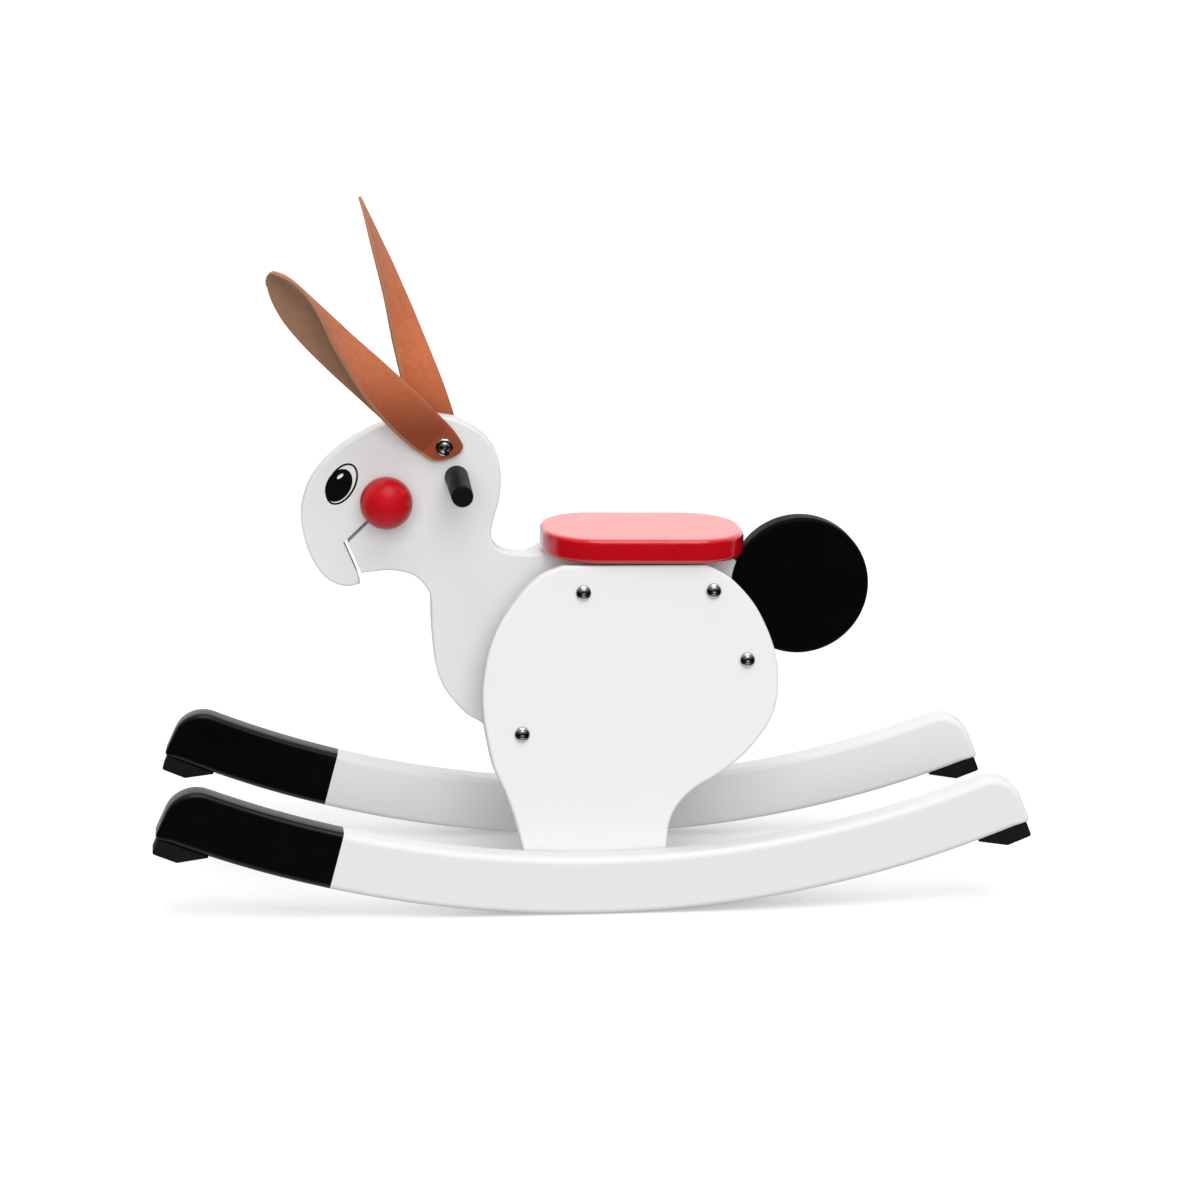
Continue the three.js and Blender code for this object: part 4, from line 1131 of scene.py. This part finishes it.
def make_floor():
    """A lit white table, kept out of the reflections; the world gives its bounce."""
    mesh = bpy.data.meshes.new("floor")
    square = ((-1, -1), (1, -1), (1, 1), (-1, 1))
    mesh.from_pydata([(x * FLOOR_REACH, y * FLOOR_REACH, 0) for x, y in square], [], [(0, 1, 2, 3)])
    paper = Finish("floor_paper", (FLOOR_WHITE,) * 3, 0.9, gloss=0.0, Emission_Strength=FLOOR_GLOW)
    mesh.materials.append(paper.material)
    floor = add_object("floor", mesh)
    floor.visible_glossy = False
    floor.visible_diffuse = False


# brightness of the room for diffuse light, and as the reflections see it
AMBIENT_FRONT, AMBIENT_BACK, AMBIENT_BELOW = 0.45, 0.5, 0.45
MIRROR_FRONT, MIRROR_ABOVE, MIRROR_BACK = 0.005, 0.5, 1.08
MIRROR_BELOW, MIRROR_UNDER, MIRROR_BEHIND = 0.005, 1.0, 0.7
# where it changes: depth (along Y) or height of the ray's direction, from -1 to 1
FRONT_TO_BACK, HORIZON = (-0.5, 0.5), (-0.05, 0.05)
FRONT_TO_ABOVE, FRONT_TO_WALL, WALL_FOOT = (0.15, 0.85), (-0.25, 0.45), (-0.02, 0.06)
UNDER_TO_BELOW, BELOW_TO_BEHIND = (-0.8, -0.45), (0.0, 0.4)
OFF_TO_ON = (0.0, 1.0)


def make_world():
    """A white studio. Its reflections have a pale back wall, a dim front and a dark zone below."""
    world = bpy.data.worlds.new("studio")
    bpy.context.scene.world = world
    world.use_nodes = True
    tree = world.node_tree
    background = tree.nodes["Background"]
    background.inputs["Color"].default_value = (1, 1, 1, 1)
    parts = tree.nodes.new("ShaderNodeSeparateXYZ")
    tree.links.new(tree.nodes.new("ShaderNodeTexCoord").outputs["Generated"], parts.inputs[0])
    ray = tree.nodes.new("ShaderNodeLightPath").outputs

    def ramp(value, ends, to_low, to_high):
        node = tree.nodes.new("ShaderNodeMapRange")
        node.interpolation_type = "SMOOTHSTEP"
        for socket, number in zip(RANGE_SOCKETS, (*ends, to_low, to_high)):
            if isinstance(number, float):
                node.inputs[socket].default_value = number
            else:
                tree.links.new(number, node.inputs[socket])
        tree.links.new(value, node.inputs["Value"])
        return node.outputs["Result"]

    forward, height = parts.outputs["Y"], parts.outputs["Z"]
    ambient = ramp(forward, FRONT_TO_BACK, AMBIENT_FRONT, AMBIENT_BACK)
    ambient = ramp(height, HORIZON, AMBIENT_BELOW, ambient)
    front = ramp(height, FRONT_TO_ABOVE, MIRROR_FRONT, MIRROR_ABOVE)
    mirror = ramp(forward, FRONT_TO_WALL, front, MIRROR_BACK)
    under = ramp(height, UNDER_TO_BELOW, MIRROR_UNDER, MIRROR_BELOW)
    under = ramp(forward, BELOW_TO_BEHIND, under, MIRROR_BEHIND)
    mirror = ramp(height, WALL_FOOT, under, mirror)
    strength = ramp(ray["Is Glossy Ray"], OFF_TO_ON, ambient, mirror)
    strength = ramp(ray["Is Camera Ray"], OFF_TO_ON, strength, 1.0)
    tree.links.new(strength, background.inputs["Strength"])


def soft_sun(name, azimuth, elevation, width, strength, mirrored=False):
    """A broad, far light. A white face square to a light of strength 1 comes out white."""
    data = bpy.data.lights.new(name, "SUN")
    data.energy = pi * strength
    data.angle = radians(width)
    light = add_object(name, data)
    a, e = radians(azimuth), radians(elevation)
    towards = Vector((sin(a) * cos(e), -cos(a) * cos(e), sin(e)))
    light.rotation_euler = towards.to_track_quat("Z", "Y").to_euler()
    light.visible_glossy = mirrored


def make_lights():
    soft_sun("softbox_above", 15, 64, 45, 0.38, mirrored=True)
    soft_sun("softbox_front", -4, 20, 40, 0.55)
    soft_sun("softbox_top", 0, 86, 50, 0.12)
    soft_sun("softbox_back", 195, 30, 50, 0.42)


def build():
    bpy.context.scene.view_settings.view_transform = "Standard"
    make_floor()
    make_world()
    make_lights()
    paint_cad_nodes()
    centre_board()
    seat_board()
    tail_disc()
    handle_rod()
    for name, side in SIDES.items():
        eye_print(name, side)
        haunch_panel(name, side)
        rocker(name, side)
        for end, direction in (("front", -1), ("rear", 1)):
            rubber_stop(name, side, end, direction)
        cheek_ball(name, side)
        haunch_fasteners(name, side)
        ear_fasteners(name, side)
        ear(name, side)


build()
